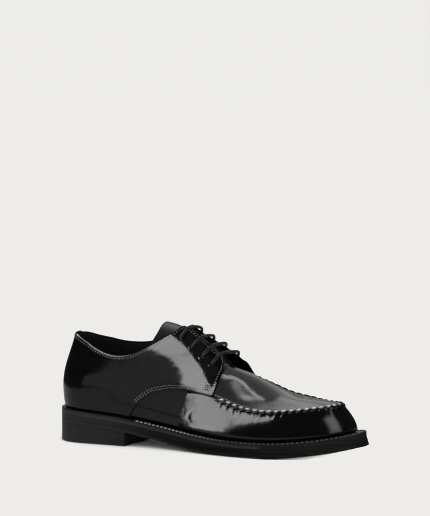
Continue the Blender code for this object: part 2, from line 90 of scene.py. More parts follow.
SHOULDER_ENDS = (2.5, 20.5)
RIDGE_ENDS = (15.5, 60.0)
WALL_HANDLE, TOP_HANDLE = 0.38, 0.36
EYELETS = {OUTER: (126.0, 138.0, 149.0, 158.5), INNER: (130.0, 141.5, 152.0, 162.0)}
EYELET_INSETS = (10.5, 12.3, 13.9, 14.5)
EYELET_LOW = 1.2


class Table:
    """Sizes at stations along the shoe, read between its rows on a smooth curve."""

    def __init__(self, columns, *rows):
        self.columns = columns.split()
        self.rows = np.array(rows, float)

    def __call__(self, column, station):
        x = self.rows[:, 0]
        y = self.rows[:, self.columns.index(column)]
        width = np.diff(x)
        rise = np.diff(y) / width
        inner = (rise[:-1] * width[1:] + rise[1:] * width[:-1]) / (width[1:] + width[:-1])
        slope = np.concatenate([rise[:1], inner, rise[-1:]])
        station = np.clip(np.asarray(station, float), x[0], x[-1])
        i = np.clip(np.searchsorted(x, station, side="right") - 1, 0, len(width) - 1)
        t = (station - x[i]) / width[i]
        start = (1 + 2 * t) * (1 - t) ** 2 * y[i] + t * (1 - t) ** 2 * width[i] * slope[i]
        end = t * t * (3 - 2 * t) * y[i + 1] - t * t * (1 - t) * width[i] * slope[i + 1]
        return start + end


SOLE_PLAN = Table(
    "station outer_half inner_half centre ledge",
    (0, 35, 35, 0, 4.5),
    (36, 36, 36, 0, 4.5),
    (80, 36, 34, 0, 5),
    (120, 38, 31, 0, 5),
    (160, 45, 36, 0, 5),
    (195, 50.5, 47, 0, 5),
    (222, 51, 51, 0, 5),
    (255, 50, 50, 2, 5.5),
    (300, 49, 49, 5, 6))

SOLE_HEIGHT = Table(
    "station top bottom",
    (0, 31.5, 19),
    (40, 29, 16.5),
    (80, 25.5, 13),
    (100, 22.8, 9.8),
    (120, 20, 6.6),
    (140, 17.3, 3.4),
    (158, 15.2, 1),
    (172, 14, 0),
    (195, 13.2, 0),
    (222, 13.2, 0),
    (240, 14, 1),
    (255, 15.2, 2.4),
    (280, 18.5, 5.7),
    (300, 22, 9.2))

SHOULDER = Table(
    "station outer_inset inner_inset height inner_extra wall_slope top_slope flare",
    (0, -1.5, -1.5, 18, 0, 92, 92, 12),
    (36, -1.5, -1.5, 20, 0, 92, 92, 10),
    (80, 0, 0, 24, 0, 86, 86, 8),
    (120, 2, 2, 30, 0, 78, 78, 8),
    (160, 7, 5, 36.5, 2, 62, 58, 8),
    (175, 9, 6.5, 34, 4, 54, 46, 8),
    (195, 10, 8, 28.5, 6, 50, 40, 8),
    (210, 10, 9, 26.5, 6.5, 48, 32, 8),
    (222, 11, 10, 26, 6.2, 46, 26, 8),
    (240, 12, 11, 26.4, 4, 46, 19, 8),
    (255, 13, 12, 26.8, 2.2, 46, 15, 6),
    (276, 13.5, 12.5, 27, 0.5, 50, 12, -6),
    (300, 14, 13, 27, 0, 52, 10, -14))

RIDGE = Table(
    "station height inner_extra half centre slope",
    (0, 104, 0, 22, 0, 80),
    (36, 106, 0, 22, 0, 80),
    (70, 111.5, 0, 20, 0, 75),
    (100, 113, 0, 12, 1, 50),
    (125, 107.5, 0, 9, 2, 45),
    (140, 99, 1, 8.7, 2.3, 44),
    (150, 91.5, 2, 8, 2.6, 40),
    (160, 83, 3, 6.3, 3, 24),
    (169, 76, 0, 0, 4, 0),
    (177, 73, 0, 0, 5, 0),
    (186, 70.2, 0, 0, 6, 0),
    (195, 66.6, 0, 0, 6, 0),
    (205, 61.8, 0, 0, 7, 0),
    (222, 53.8, 0, 0, 8, 0),
    (240, 49, 0, 0, 6, 0),
    (300, 48, 0, 0, 5, 0))

COLLAR = Table(
    "station outer inner",
    (0, 101.5, 101.5),
    (14, 101.5, 100.5),
    (22, 99.5, 96.5),
    (34, 94, 93.5),
    (46, 88, 91.5),
    (58, 84, 91),
    (69, 82.5, 91.5),
    (82, 84.5, 93.5),
    (94, 90, 97),
    (104, 95.5, 100.5),
    (113, 101, 103.5),
    (125, 107.5, 107.5))

QUARTER_EDGE = Table(
    "station height",
    (82.5, 0.8),
    (88, 11),
    (93.5, 18),
    (99.5, 23.5),
    (108, 29),
    (118.5, 33),
    (129, 35.8),
    (140, 37.3),
    (151, 37.7),
    (162, 37.2),
    (169, 36.3))

FACING = Table(
    "station outer_edge inner_edge outer_lift inner_lift",
    (0, 0, 0, 0, 0),
    (125, 0, 0, 0, 0),
    (140, 0, 0, 0, 0.4),
    (150, 0, 0, 0, 1.8),
    (157, 0, 0, 0.2, 3.4),
    (163, 5, 7.5, 0.4, 5),
    (166, 8, 9, 0.5, 6),
    (169, 16, 10.5, 0.5, 6.5),
    (175, 16, 13, 0.5, 6.5),
    (181, 16, 20, 0.5, 5))

TONGUE = Table(
    "station crown",
    (98, 5),
    (112, 4.5),
    (130, 2.8),
    (150, 1.6),
    (169, 0))


def length(name, description, millimetres):
    return FloatProperty(
        name=name, description=description, default=millimetres * MM, unit="LENGTH", precision=5)


def colour(name, description, value):
    return FloatVectorProperty(name=name, description=description, default=value, subtype="COLOR", size=3)


class ShoeSizes(bpy.types.PropertyGroup):
    """Sizes of the sewn and finished details."""

    seam_pitch: length("Seam pitch", "Distance between the stitches of the apron seam", 6.9)
    seam_half: length("Seam half width", "Half the width of the raised fold of the apron seam", 2.8)
    seam_rise: length("Seam rise", "Height of the raised fold over the vamp", 1.6)
    gather_depth: length("Gather depth", "Depth of the small gathers below the apron seam", 0.16)
    stitch_pitch: length("Stitch pitch", "Distance between the stitches of the quarters and tongue", 2.9)
    stitch_length: length("Stitch length", "Length of one stitch of the quarters and tongue", 1.3)
    stitch_width: length("Stitch width", "Thickness of the thread of the upper", 0.75)
    welt_pitch: length("Welt pitch", "Distance between the stitches of the welt", 4.4)
    welt_stitch: length("Welt stitch", "Length of one stitch of the welt", 3.0)
    welt_thread: length("Welt thread", "Thickness of the thread of the welt", 1.6)
    lace_radius: length("Lace radius", "Radius of the round lace", 1.55)
    eyelet_radius: length("Eyelet radius", "Radius of a punched eyelet", 1.65)


class ShoeColours(bpy.types.PropertyGroup):
    """Colours of the finishes and the background."""

    leather: colour("Leather", "Polished leather of vamp and quarters", (0.0016, 0.0016, 0.0017))
    lining: colour("Lining", "Leather of the lining and tongue", (0.0075, 0.0075, 0.0075))
    thread: colour("Thread", "Waxed thread of the seams", (0.17, 0.17, 0.167))
    welt_thread: colour("Welt thread", "Thread of the welt", (0.24, 0.24, 0.235))
    rubber: colour("Rubber", "Rubber of sole and heel", (0.0055, 0.0055, 0.0056))
    cord: colour("Cord", "Waxed round lace", (0.007, 0.007, 0.0072))
    sock: colour("Sock", "Leather sock over the insole", (0.012, 0.0115, 0.011))
    background: colour("Background", "Pale floor and background", (0.847, 0.839, 0.807))


class ShoeStage(bpy.types.PropertyGroup):
    """Camera and strength of the studio light."""

    distance: FloatProperty(name="Distance", description="From camera to shoe", default=2.2, unit="LENGTH")
    azimuth: FloatProperty(name="Azimuth", description="Turn ahead of the outer side",
                           default=math.radians(26.5), subtype="ANGLE")
    elevation: FloatProperty(name="Elevation", description="Height over the floor",
                             default=math.radians(7.4), subtype="ANGLE")
    focal: FloatProperty(name="Focal length", description="Lens of the camera in millimetres", default=167.4)
    key: FloatProperty(name="Key", description="Brightness that each soft box has a share of", default=10.0)


def sizes():
    return bpy.context.scene.shoe_sizes


def mm(value):
    """Return a size from the sidebar in millimetres."""
    return value / MM


def stitch_size():
    """Return length, width and height of a stitch of the quarters and tongue."""
    width = mm(sizes().stitch_width)
    return mm(sizes().stitch_length), width, width


def smooth_step(value, start, end):
    t = np.clip((np.asarray(value, float) - start) / (end - start), 0, 1)
    return t * t * (3 - 2 * t)


def unit(vectors):
    return vectors / np.maximum(np.linalg.norm(vectors, axis=-1, keepdims=True), 1e-12)


# Guide lines and surface of the last

def fan(u, back, tip):
    """Return the station of a section and its share of the full width, rounded off at both ends."""
    u = np.asarray(u, float)
    toe_start = 1 - TOE_SHARE
    heel_turn = np.clip(1 - u / HEEL_SHARE, 0, 1) * np.pi / 2
    toe_turn = np.clip((u - toe_start) / TOE_SHARE, 0, 1) * np.pi / 2
    between = np.clip((u - HEEL_SHARE) / (toe_start - HEEL_SHARE), 0, 1)
    station = HEEL_CENTRE + (TOE_CENTRE - HEEL_CENTRE) * between
    station = station - (HEEL_CENTRE - back) * np.sin(heel_turn) ** (2 / HEEL_ROUND)
    station = station + (tip - TOE_CENTRE) * np.sin(toe_turn) ** (2 / TOE_ROUND)
    heel_width = np.clip(np.cos(heel_turn), 0, 1) ** (2 / HEEL_ROUND)
    toe_width = np.clip(np.cos(toe_turn), 0, 1) ** (2 / TOE_ROUND)
    return station, heel_width * toe_width * (u > 0) * (u < 1)


def section_at(station):
    """Return u for a station between the two fans."""
    share = (np.asarray(station, float) - HEEL_CENTRE) / (TOE_CENTRE - HEEL_CENTRE)
    return HEEL_SHARE + share * (1 - TOE_SHARE - HEEL_SHARE)


def sole_half(side, station):
    return SOLE_PLAN(SIDE_NAMES[side] + "_half", station)


def outline(u, side, inset):
    """Return x and y of the sole's outline, drawn in by an inset."""
    x, share = fan(u, inset, SHOE_LENGTH - inset)
    return x, SOLE_PLAN("centre", x) + side * (sole_half(side, x) - inset) * share


def feather(u, side, inset=0.0):
    x, share = fan(u, FEATHER_ENDS[0] + inset, SHOE_LENGTH - FEATHER_ENDS[1] - inset)
    half = sole_half(side, x) - SOLE_PLAN("ledge", x) - inset
    return np.stack([x, SOLE_PLAN("centre", x) + side * half * share, SOLE_HEIGHT("top", x) + SEAT_GAP], -1)


def shoulder(u, side):
    x, share = fan(u, SHOULDER_ENDS[0], SHOE_LENGTH - SHOULDER_ENDS[1])
    inset = SHOULDER(SIDE_NAMES[side] + "_inset", x)
    half = sole_half(side, x) - SOLE_PLAN("ledge", x) - inset
    extra = SHOULDER("inner_extra", x) * share * (side == INNER)
    height = SOLE_HEIGHT("top", x) + SHOULDER("height", x) + extra
    return np.stack([x, SOLE_PLAN("centre", x) + side * half * share, height], -1)


def ridge(u, side):
    x, share = fan(u, RIDGE_ENDS[0], SHOE_LENGTH - RIDGE_ENDS[1])
    half = np.maximum(RIDGE("half", x), 0) * share * (x < THROAT_END - 0.01)
    height = RIDGE("height", x) + RIDGE("inner_extra", x) * (half > 0) * (side == INNER)
    return np.stack([x, RIDGE("centre", x) + side * half, height], -1)


def curve_between(start, start_way, end, end_way, handle, t):
    """Return points on a curve that leaves start and reaches end along the given directions."""
    reach = handle * np.linalg.norm(end - start, axis=-1)[..., None]
    t = t[..., None]
    first, second = start + start_way * reach, end - end_way * reach
    return (1 - t) ** 3 * start + 3 * (1 - t) ** 2 * t * first + 3 * (1 - t) * t * t * second + t ** 3 * end


def last_point(u, v, side):
    """Return the points of the last's surface at (u, v)."""
    u, v = np.broadcast_arrays(np.asarray(u, float), np.asarray(v, float))
    low, mid, high = feather(u, side), shoulder(u, side), ridge(u, side)
    inward = unit((high - low) * np.array([1.0, 1.0, 0.0]))

    def way(degrees):
        angle = np.radians(degrees)[..., None]
        return inward * np.cos(angle) + np.array([0.0, 0.0, 1.0]) * np.sin(angle)

    leave = way(90 + SHOULDER("flare", low[..., 0]))
    arrive = way(SHOULDER("wall_slope", mid[..., 0]))
    wall = curve_between(low, leave, mid, arrive, WALL_HANDLE, np.clip(v, 0, 1))
    leave = way(SHOULDER("top_slope", mid[..., 0]))
    arrive = way(RIDGE("slope", high[..., 0]))
    top = curve_between(mid, leave, high, arrive, TOP_HANDLE, np.clip(v - 1, 0, 1))
    return np.where((v <= 1)[..., None], wall, top)


# Soft forms given one by one: side, station, v, bow of the station over v, reach along, reach across, rise
FORMS = (
    (OUTER, 146.5, 0.4, 170.0, 1.8, 0.17, -0.12),
)


def soft_forms(station, v, side):
    """Return how far the leather stands out in the soft ridges and troughs."""
    out = np.zeros(np.shape(station))
    for form_side, centre, middle, bow, along, across, rise in FORMS:
        if form_side == side:
            off = (station - centre - bow * (v - middle) ** 2) / along
            out += rise * np.exp(-off ** 2 - ((v - middle) / across) ** 2)
    return out


class Last:
    """The last as a fair, dense grid on each side, read at any place (u, v)."""

    SECTIONS, ROWS = 361, 141
    ALONG_PASSES, ACROSS_PASSES, RIDGE_PASSES = 60, 10, 120
    CROWN = (1.3, 1.9)

    def __init__(self):
        self.u = np.linspace(0, 1, self.SECTIONS)
        self.v = np.linspace(0, 2, self.ROWS)
        u, v = np.meshgrid(self.u, self.v, indexing="ij")
        self.points = {side: last_point(u, v, side) for side in SIDES}
        self.closed = (ridge(self.u, OUTER)[:, 0] >= THROAT_END)[:, None, None]
        crown = (smooth_step(self.v, *self.CROWN) * self.closed[..., 0])[..., None]
        for _ in range(self.ALONG_PASSES):
            self.soften(0, 1.0)
        for _ in range(self.ACROSS_PASSES):
            self.soften(1, 1.0)
        for _ in range(self.RIDGE_PASSES):
            self.soften(1, crown)
        self.measure()
        for side in SIDES:
            here = self.points[side]
            here += self.normals[side] * soft_forms(here[..., 0], v, side)[..., None]
        self.measure()

    def measure(self):
        """Work out the border and the normals of both sides."""
        self.padded = {side: self.pad(side) for side in SIDES}
        self.normals = {}
        for side in SIDES:
            grid = self.padded[side]
            along = grid[2:, 1:-1] - grid[:-2, 1:-1]
            across = grid[1:-1, 2:] - grid[1:-1, :-2]
            self.normals[side] = unit(np.cross(along, across) * -side)

    def pad(self, side):
        """Return a side's grid with a border: the other side past heel, toe and ridge, else straight on."""
        here, there = self.points[side], self.points[-side]
        grid = np.concatenate([there[1:2], here, there[-2:-1]])
        other = np.concatenate([here[1:2], there, here[-2:-1]])
        closed = np.concatenate([self.closed[:1], self.closed, self.closed[-1:]])
        beyond = np.where(closed, other[:, -2:-1], 2 * grid[:, -1:] - grid[:, -2:-1])
        return np.concatenate([2 * grid[:, :1] - grid[:, 1:2], grid, beyond], axis=1)

    def soften(self, axis, share):
        """Draw each point towards its two neighbours along or across the shoe."""
        fair = {}
        for side in SIDES:
            grid, here = self.pad(side), self.points[side]
            near = (grid[:-2, 1:-1] + grid[2:, 1:-1]) if axis == 0 else (grid[1:-1, :-2] + grid[1:-1, 2:])
            fair[side] = here + share * (near - 2 * here) / 4
        self.points = fair

    def cell(self, u, v):
        a = np.clip(u, 0, 1) * (self.SECTIONS - 1)
        b = np.clip(v, 0, 2) / 2 * (self.ROWS - 1)
        i = np.minimum(a.astype(int), self.SECTIONS - 2)
        j = np.minimum(b.astype(int), self.ROWS - 2)
        return i, j, (a - i)[..., None], (b - j)[..., None]

    @staticmethod
    def weights(t):
        """Return the shares of four neighbours on a smooth curve through them."""
        return (t * (-1 + t * (2 - t)) / 2, (2 + t * t * (3 * t - 5)) / 2,
                t * (1 + t * (4 - 3 * t)) / 2, t * t * (t - 1) / 2)

    def at(self, u, v, side):
        u, v = np.broadcast_arrays(np.asarray(u, float), np.asarray(v, float))
        i, j, a, b = self.cell(u, v)
        grid = self.padded[side]
        total = 0
        for di, wi in enumerate(self.weights(a)):
            for dj, wj in enumerate(self.weights(b)):
                total = total + grid[i + di, j + dj] * wi * wj
        return total

    def normal(self, u, v, side):
        u, v = np.broadcast_arrays(np.asarray(u, float), np.asarray(v, float))
        i, j, a, b = self.cell(u, v)
        grid = self.normals[side]
        low = grid[i, j] * (1 - b) + grid[i, j + 1] * b
        high = grid[i + 1, j] * (1 - b) + grid[i + 1, j + 1] * b
        return unit(low * (1 - a) + high * a)

    def lay(self, u, v, side, out):
        """Return points that stand a distance out from the last."""
        return self.at(u, v, side) + self.normal(u, v, side) * np.asarray(out, float)[..., None]


@lru_cache(maxsize=1)
def last():
    return Last()


# Passes of a search by halves, and a small step of v to measure along
HALVINGS = 40
SMALL_V = 0.02


def halve(u, side, low, high, holds):
    """Return the v between low and high up to which something holds for the points of the last."""
    low = np.full(np.shape(u), float(low))
    high = np.full(np.shape(u), float(high))
    for _ in range(HALVINGS):
        mid = (low + high) / 2
        held = holds(last_point(u, mid, side))
        low = np.where(held, mid, low)
        high = np.where(held, high, mid)
    return (low + high) / 2


def rise_to(u, side, wanted, low, high):
    """Return the v at which the last first reaches the height that wanted gives for a point."""
    return halve(u, side, low, high, lambda point: point[..., 2] < wanted(point[..., 0]))


def collar_v(u, side):
    """Return v along the top of the upper: the collar, then the facing edge, then the ridge."""
    at_collar = rise_to(u, side, lambda x: COLLAR(SIDE_NAMES[side], x), 1, 2)
    return np.where(ridge(u, side)[..., 0] < FACING_TOP, at_collar, 2.0)


def facing_v(u, side):
    """Return v along the inner edge of a facing, which rounds away from the throat at its front."""
    edge = FACING(SIDE_NAMES[side] + "_edge", ridge(u, side)[..., 0])

    def outside(point):
        return np.abs(point[..., 1] - RIDGE("centre", point[..., 0])) >= edge

    return halve(u, side, 1, 2, outside)


EDGE_ROWS = np.array([0, 0.25, 0.5, 0.8, 1.1, 1.4, 1.7, 2.1, 2.5, 3.0, 3.5, 3.9, 4.4, 5.2])


def edge_rows(u, side, low, high, count):
    """Return rows of v from low to high, close together at both edges, and their distances from low."""
    tries = np.linspace(low, high, 120)
    points = last_point(np.broadcast_to(u, tries.shape), tries, side)
    run = np.linalg.norm(np.diff(points, axis=0), axis=-1).cumsum(axis=0)
    run = np.concatenate([np.zeros((1, len(u))), run])
    rows, distances = [], []
    for i in range(len(u)):
        middle = np.linspace(EDGE_ROWS[-1], run[-1, i] - EDGE_ROWS[-1], count)[1:-1]
        where = np.concatenate([EDGE_ROWS, middle, run[-1, i] - EDGE_ROWS[::-1]])
        rows.append(np.interp(where, run[:, i], tries[:, i]))
        distances.append(where)
    return np.stack(rows, -1), np.stack(distances, -1)


def quarter_low(u, side):
    """Return v along the lower edge of a quarter: the feather, then the curved seam up to the tab."""
    pull = (TAB[OUTER] - QUARTER_START) / (TAB[side] - QUARTER_START)

    def edge(x):
        return SOLE_HEIGHT("top", x) + QUARTER_EDGE("height", QUARTER_START + (x - QUARTER_START) * pull)

    return np.where(shoulder(u, side)[..., 0] < QUARTER_START + 0.1, 0, rise_to(u, side, edge, 0, 2))


# How far the edge of each facing is drawn up, by station
DRAWN = Table(
    "station outer inner",
    (100, 0, 0),
    (108, 0.2, 1.6),
    (114, 0.5, 3.8),
    (121, 3.0, 3.6),
    (128, 4.4, 1.4),
    (138, 3.6, 0),
    (149, 2.4, 0),
    (158, 0.8, 0.3),
    (166, 0, 2.0),
    (174, 0, 3.8),
    (181, 0, 3.6))
DRAWN_BEND = 0.16
DRAWN_WAY = {OUTER: np.array([0, 0.7, 0.7]), INNER: np.array([0.35, 0, 0.94])}


def quarter_skin(u, v, side, out):
    """Return points out from a quarter's face, which lifts off the vamp towards the front of the facing."""
    lift = FACING(SIDE_NAMES[side] + "_lift", ridge(u, side)[..., 0])
    edge = facing_v(u, side)
    lift = lift * smooth_step(v, edge - FACING_BEND, edge)
    points = last().lay(u, v, side, QUARTER_GAP + QUARTER_THICK + lift + out)
    drawn = DRAWN(SIDE_NAMES[side], ridge(u, side)[..., 0])
    drawn = np.maximum(drawn, 0) * smooth_step(v, edge - DRAWN_BEND, edge)
    return points + drawn[..., None] * DRAWN_WAY[side]


def both_sides(outer, inner):
    """Join a side's points, heel to toe, with the other side's, toe to heel, into one ring."""
    return np.concatenate([outer, inner[-2:0:-1]])


def frame_middle():
    """Return the middle of the sole's outline, which is the origin of the part."""
    u = np.linspace(0, 1, 401)
    y = np.concatenate([outline(u, side, 0)[1] for side in SIDES])
    return np.array([SHOE_LENGTH / 2, (y.min() + y.max()) / 2, 0])


MIDDLE = frame_middle()


# Meshes

class Sheets:
    """Points and faces of one piece, gathered sheet by sheet before its mesh is made."""

    WELD, NO_LENGTH = 0.02, 0.001

    def __init__(self):
        self.points, self.faces, self.finishes, self.count = [], [], [], 0

    def add(self, points, faces, finish=0):
        points = np.asarray(points, float).reshape(-1, 3)
        self.points.append(points)
        self.faces += [tuple(int(c) + self.count for c in face) for face in faces]
        self.finishes += [finish] * len(faces)
        self.count += len(points)

    def sheet(self, grid, finish=0, flip=False, ring=False):
        """Add a grid of points as quads; a ring's last column joins its first."""
        grid = np.asarray(grid, float)
        rows, columns = grid.shape[:2]
        r, c = np.meshgrid(np.arange(rows - 1), np.arange(columns if ring else columns - 1), indexing="ij")
        d = (c + 1) % columns
        here, below = r * columns, (r + 1) * columns
        quads = np.stack([here + c, here + d, below + d, below + c], -1).reshape(-1, 4)
        self.add(grid, quads[:, ::-1] if flip else quads, finish)

    def all_points(self):
        return np.concatenate(self.points)

    def tree(self):
        """Return the sheets as a surface that stitches can be laid on, in millimetres."""
        return BVHTree.FromPolygons([Vector(p) for p in self.all_points()], self.faces)

    def piece(self, name, finishes, slot, replaced=(), crisp=60.0):
        """Make the mesh, weld its sheets, and let it ride on the shoe."""
        mesh = bpy.data.meshes.new(name)
        placed = (self.all_points() - MIDDLE) * MM
        mesh.from_pydata(placed.tolist(), [], self.faces)
        mesh.polygons.foreach_set("material_index", self.finishes)
        work = bmesh.new()
        work.from_mesh(mesh)
        bmesh.ops.remove_doubles(work, verts=work.verts, dist=self.WELD * MM)
        bmesh.ops.dissolve_degenerate(work, edges=work.edges, dist=self.NO_LENGTH * MM)
        work.to_mesh(mesh)
        work.free()
        mesh.shade_smooth()
        mesh.set_sharp_from_angle(angle=math.radians(crisp))
        for finish in finishes:
            mesh.materials.append(finish)
        shown = bpy.data.objects.new(name, mesh)
        bpy.context.scene.collection.objects.link(shown)
        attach(shown, "root")
        if replaced:
            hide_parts(*replaced)
        return shown


def resample(path, pitch):
    """Return points at an even pitch along a path, and their directions."""
    path = np.asarray(path, float)
    run = np.concatenate([[0], np.linalg.norm(np.diff(path, axis=0), axis=1).cumsum()])
    count = max(2, int(round(run[-1] / pitch)) + 1)
    where = np.linspace(0, run[-1], count)
    points = np.stack([np.interp(where, run, path[:, k]) for k in range(3)], -1)
    return points, unit(np.gradient(points, axis=0))


def snap(tree, points):
    """Return the nearest points of a surface and its normals there."""
    found = [tree.find_nearest(Vector(p)) for p in points]
    return np.array([f[0] for f in found]), np.array([f[1] for f in found])


def offset_row(tree, edge, inside, distance, pitch):
    """Return points, normals and directions of a row laid at a distance in from an edge of a surface."""
    tangent = unit(np.gradient(edge, axis=0))
    inward = inside - edge
    inward = unit(inward - (inward * tangent).sum(-1, keepdims=True) * tangent)
    row, _ = snap(tree, edge + inward * distance)
    row, way = resample(row, pitch)
    row, normal = snap(tree, row)
    return row, normal, way


BEAD_RINGS, BEAD_SIDES, BEAD_BLUNT = 6, 6, 0.6


def bead():
    """Return points and faces of a rounded bead of unit length along x."""
    rings, sides = BEAD_RINGS, BEAD_SIDES
    turn = np.linspace(0, np.pi, rings + 1)[1:-1]
    around = np.linspace(0, 2 * np.pi, sides, endpoint=False)
    body = []
    for t in turn:
        width = math.sin(t) ** BEAD_BLUNT
        body += [(-math.cos(t) / 2, width * math.cos(a) / 2, width * math.sin(a) / 2) for a in around]
    points = np.array(body + [(-0.5, 0, 0), (0.5, 0, 0)])
    faces = []
    for r in range(rings - 2):
        for s in range(sides):
            n = (s + 1) % sides
            faces.append((r * sides + s, r * sides + n, (r + 1) * sides + n, (r + 1) * sides + s))
    first, final = len(body), len(body) + 1
    top = (rings - 2) * sides
    faces += [(first, (s + 1) % sides, s) for s in range(sides)]
    faces += [(final, top + s, top + (s + 1) % sides) for s in range(sides)]
    return points, [face[::-1] for face in faces]


def sew(sheets, points, normals, ways, size, sink=0.0):
    """Add one bead of thread for each point: size is its length, width and height."""
    shape, faces = bead()
    ways = unit(ways - (ways * normals).sum(-1, keepdims=True) * normals)
    across = np.cross(normals, ways)
    scaled = shape * np.array(size)
    for point, x, y, z in zip(points, ways, across, normals):
        sheets.add(point - z * sink + scaled @ np.stack([x, y, z]), faces)


def tube(sheets, path, radius, sides, relief):
    """Add a tube along a path: relief gives the share of the radius at each place round and along it."""
    tangent = unit(np.gradient(path, axis=0))
    normal = np.zeros_like(path)
    normal[0] = unit(np.cross(tangent[0], [1.0, 0.3, 0.2]))
    for i in range(1, len(path)):
        turned = normal[i - 1] - tangent[i] * normal[i - 1].dot(tangent[i])
        normal[i] = unit(turned)
    side = np.cross(tangent, normal)
    run = np.concatenate([[0], np.linalg.norm(np.diff(path, axis=0), axis=1).cumsum()])
    angle = np.linspace(0, 2 * np.pi, sides, endpoint=False)
    r = radius * relief(angle[None], run[:, None])
    grid = path[:, None] + r[..., None] * (
        np.cos(angle)[None, :, None] * normal[:, None] + np.sin(angle)[None, :, None] * side[:, None])
    sheets.sheet(grid, ring=True)
    for end, flip in ((0, False), (-1, True)):
        lid = np.concatenate([grid[end], path[end][None]])
        fan_faces = [(k, sides, (k + 1) % sides) for k in range(sides)]
        sheets.add(lid, [face[::-1] for face in fan_faces] if flip else fan_faces)


# Finishes

class Net:
    """Adds nodes to a shader tree and links them by socket name."""

    def __init__(self, tree):
        self.tree = tree

    def add(self, kind, sockets=None, **settings):
        item = self.tree.nodes.new(kind)
        for key, value in settings.items():
            setattr(item, key, value)
        for key, value in (sockets or {}).items():
            self.set(item, key, value)
        return item

    def set(self, item, key, value):
        if isinstance(value, bpy.types.NodeSocket):
            self.tree.links.new(value, item.inputs[key])
        else:
            item.inputs[key].default_value = value


def node_group(name, inputs, outputs):
    """Return a new shader node group with its sockets, its net and its two ends."""
    tree = bpy.data.node_groups.new(name, "ShaderNodeTree")
    for socket, value in inputs.items():
        entry = tree.interface.new_socket(socket, in_out="INPUT", socket_type="NodeSocketFloat")
        entry.default_value = value
    for socket in outputs:
        tree.interface.new_socket(socket, in_out="OUTPUT", socket_type="NodeSocketFloat")
    net = Net(tree)
    return net, net.add("NodeGroupInput"), net.add("NodeGroupOutput")


@lru_cache(maxsize=None)
def grain_group():
    """Leather grain: fine pores, a slow mottle and the slight unevenness of a stretched hide."""
    net, start, end = node_group(
        "leather_grain", {"Pores": 1500.0, "Mottle": 60.0}, ("Height", "Cloud", "Wave"))
    place = net.add("ShaderNodeTexCoord").outputs["Object"]
    pores = net.add("ShaderNodeTexVoronoi", {"Vector": place, "Scale": start.outputs["Pores"]})
    cloud = net.add("ShaderNodeTexNoise", {"Vector": place, "Scale": start.outputs["Mottle"], "Detail": 3.0})
    net.set(end, "Height", pores.outputs["Distance"])
    net.set(end, "Cloud", cloud.outputs["Fac"])
    wave = net.add("ShaderNodeTexNoise", {"Vector": place, "Scale": 110.0, "Detail": 2.5})
    net.set(end, "Wave", wave.outputs["Fac"])
    return net.tree


@lru_cache(maxsize=None)
def rub_group():
    """Rubbed edges: a mask that is high where an edge stands out."""
    net, start, end = node_group("rubbed_edges", {"From": 0.52, "To": 0.6}, ("Rub",))
    edge = net.add("ShaderNodeNewGeometry").outputs["Pointiness"]
    ramp = net.add("ShaderNodeMapRange", {
        "Value": edge, "From Min": start.outputs["From"], "From Max": start.outputs["To"]})
    net.set(end, "Rub", ramp.outputs["Result"])
    return net.tree


def group_node(net, tree, **values):
    item = net.add("ShaderNodeGroup", node_tree=tree)
    for key, value in values.items():
        net.set(item, key, value)
    return item


def new_finish(name, tint, **values):
    """Return a material, its net and its shader with plain values set on the shader's own sockets."""
    material = bpy.data.materials.new(name)
    material.use_nodes = True
    net = Net(material.node_tree)
    shader = material.node_tree.nodes["Principled BSDF"]
    net.set(shader, "Base Color", (*tint, 1))
    for key, value in values.items():
        net.set(shader, key.replace("_", " "), value)
    return material, net, shader


def tone(net, factor, dark, light):
    """Return a colour that runs from dark to light with a factor."""
    mix = net.add("ShaderNodeMix", {"Factor": factor}, data_type="RGBA")
    for key, value in (("A", dark), ("B", light)):
        net.set(mix, key, value if isinstance(value, bpy.types.NodeSocket) else (*value, 1))
    return next(s for s in mix.outputs if s.type == "RGBA")


def times(tint, share):
    return [c * share for c in tint]


def ahead(net, place, start, end):
    """Return a value that runs from 0 to 1 between two places along the shoe."""
    along = net.add("ShaderNodeSeparateXYZ", {"Vector": place}).outputs["X"]
    ramp = net.add("ShaderNodeMapRange", {"Value": along, "From Min": start, "From Max": end})
    return ramp.outputs["Result"]


def leather(name, tint, low, high, pores, depth, unevenness=0.42, **values):
    """Grained leather whose gloss varies a little from place to place."""
    material, net, shader = new_finish(name, tint, **values)
    grain = group_node(net, grain_group(), Pores=pores)
    rub = group_node(net, rub_group())
    gloss = net.add("ShaderNodeMapRange", {
        "Value": grain.outputs["Cloud"], "From Min": 0.3, "From Max": 0.7, "To Min": low, "To Max": high})
    net.set(shader, "Roughness", gloss.outputs["Result"])
    net.set(shader, "Base Color", tone(net, rub.outputs["Rub"], tint, times(tint, 1.8)))
    uneven = net.add("ShaderNodeBump", {
        "Height": grain.outputs["Wave"], "Strength": unevenness, "Distance": 0.0004})
    bump = net.add("ShaderNodeBump", {
        "Height": grain.outputs["Height"], "Strength": depth, "Distance": 0.00012,
        "Normal": uneven.outputs["Normal"]})
    net.set(shader, "Normal", bump.outputs["Normal"])
    return material


@lru_cache(maxsize=None)
def polished_leather():
    return leather("polished_leather", bpy.context.scene.shoe_colours.leather, 0.09, 0.14, 1500.0, 0.08,
                   Specular_IOR_Level=0.28, Coat_Weight=0.22, Coat_Roughness=0.04)


@lru_cache(maxsize=None)
def apron_leather():
    return leather("apron_leather", bpy.context.scene.shoe_colours.leather, 0.1, 0.13, 1500.0, 0.02,
                   unevenness=0.03, Specular_IOR_Level=0.5)


@lru_cache(maxsize=None)
def lining_leather():
    return leather("lining_leather", bpy.context.scene.shoe_colours.lining, 0.5, 0.65, 1100.0, 0.3,
                   Specular_IOR_Level=0.2)


@lru_cache(maxsize=None)
def tongue_leather():
    return leather("tongue_leather", bpy.context.scene.shoe_colours.lining, 0.22, 0.32, 1300.0, 0.2,
                   Specular_IOR_Level=0.3, Coat_Weight=0.15, Coat_Roughness=0.12)


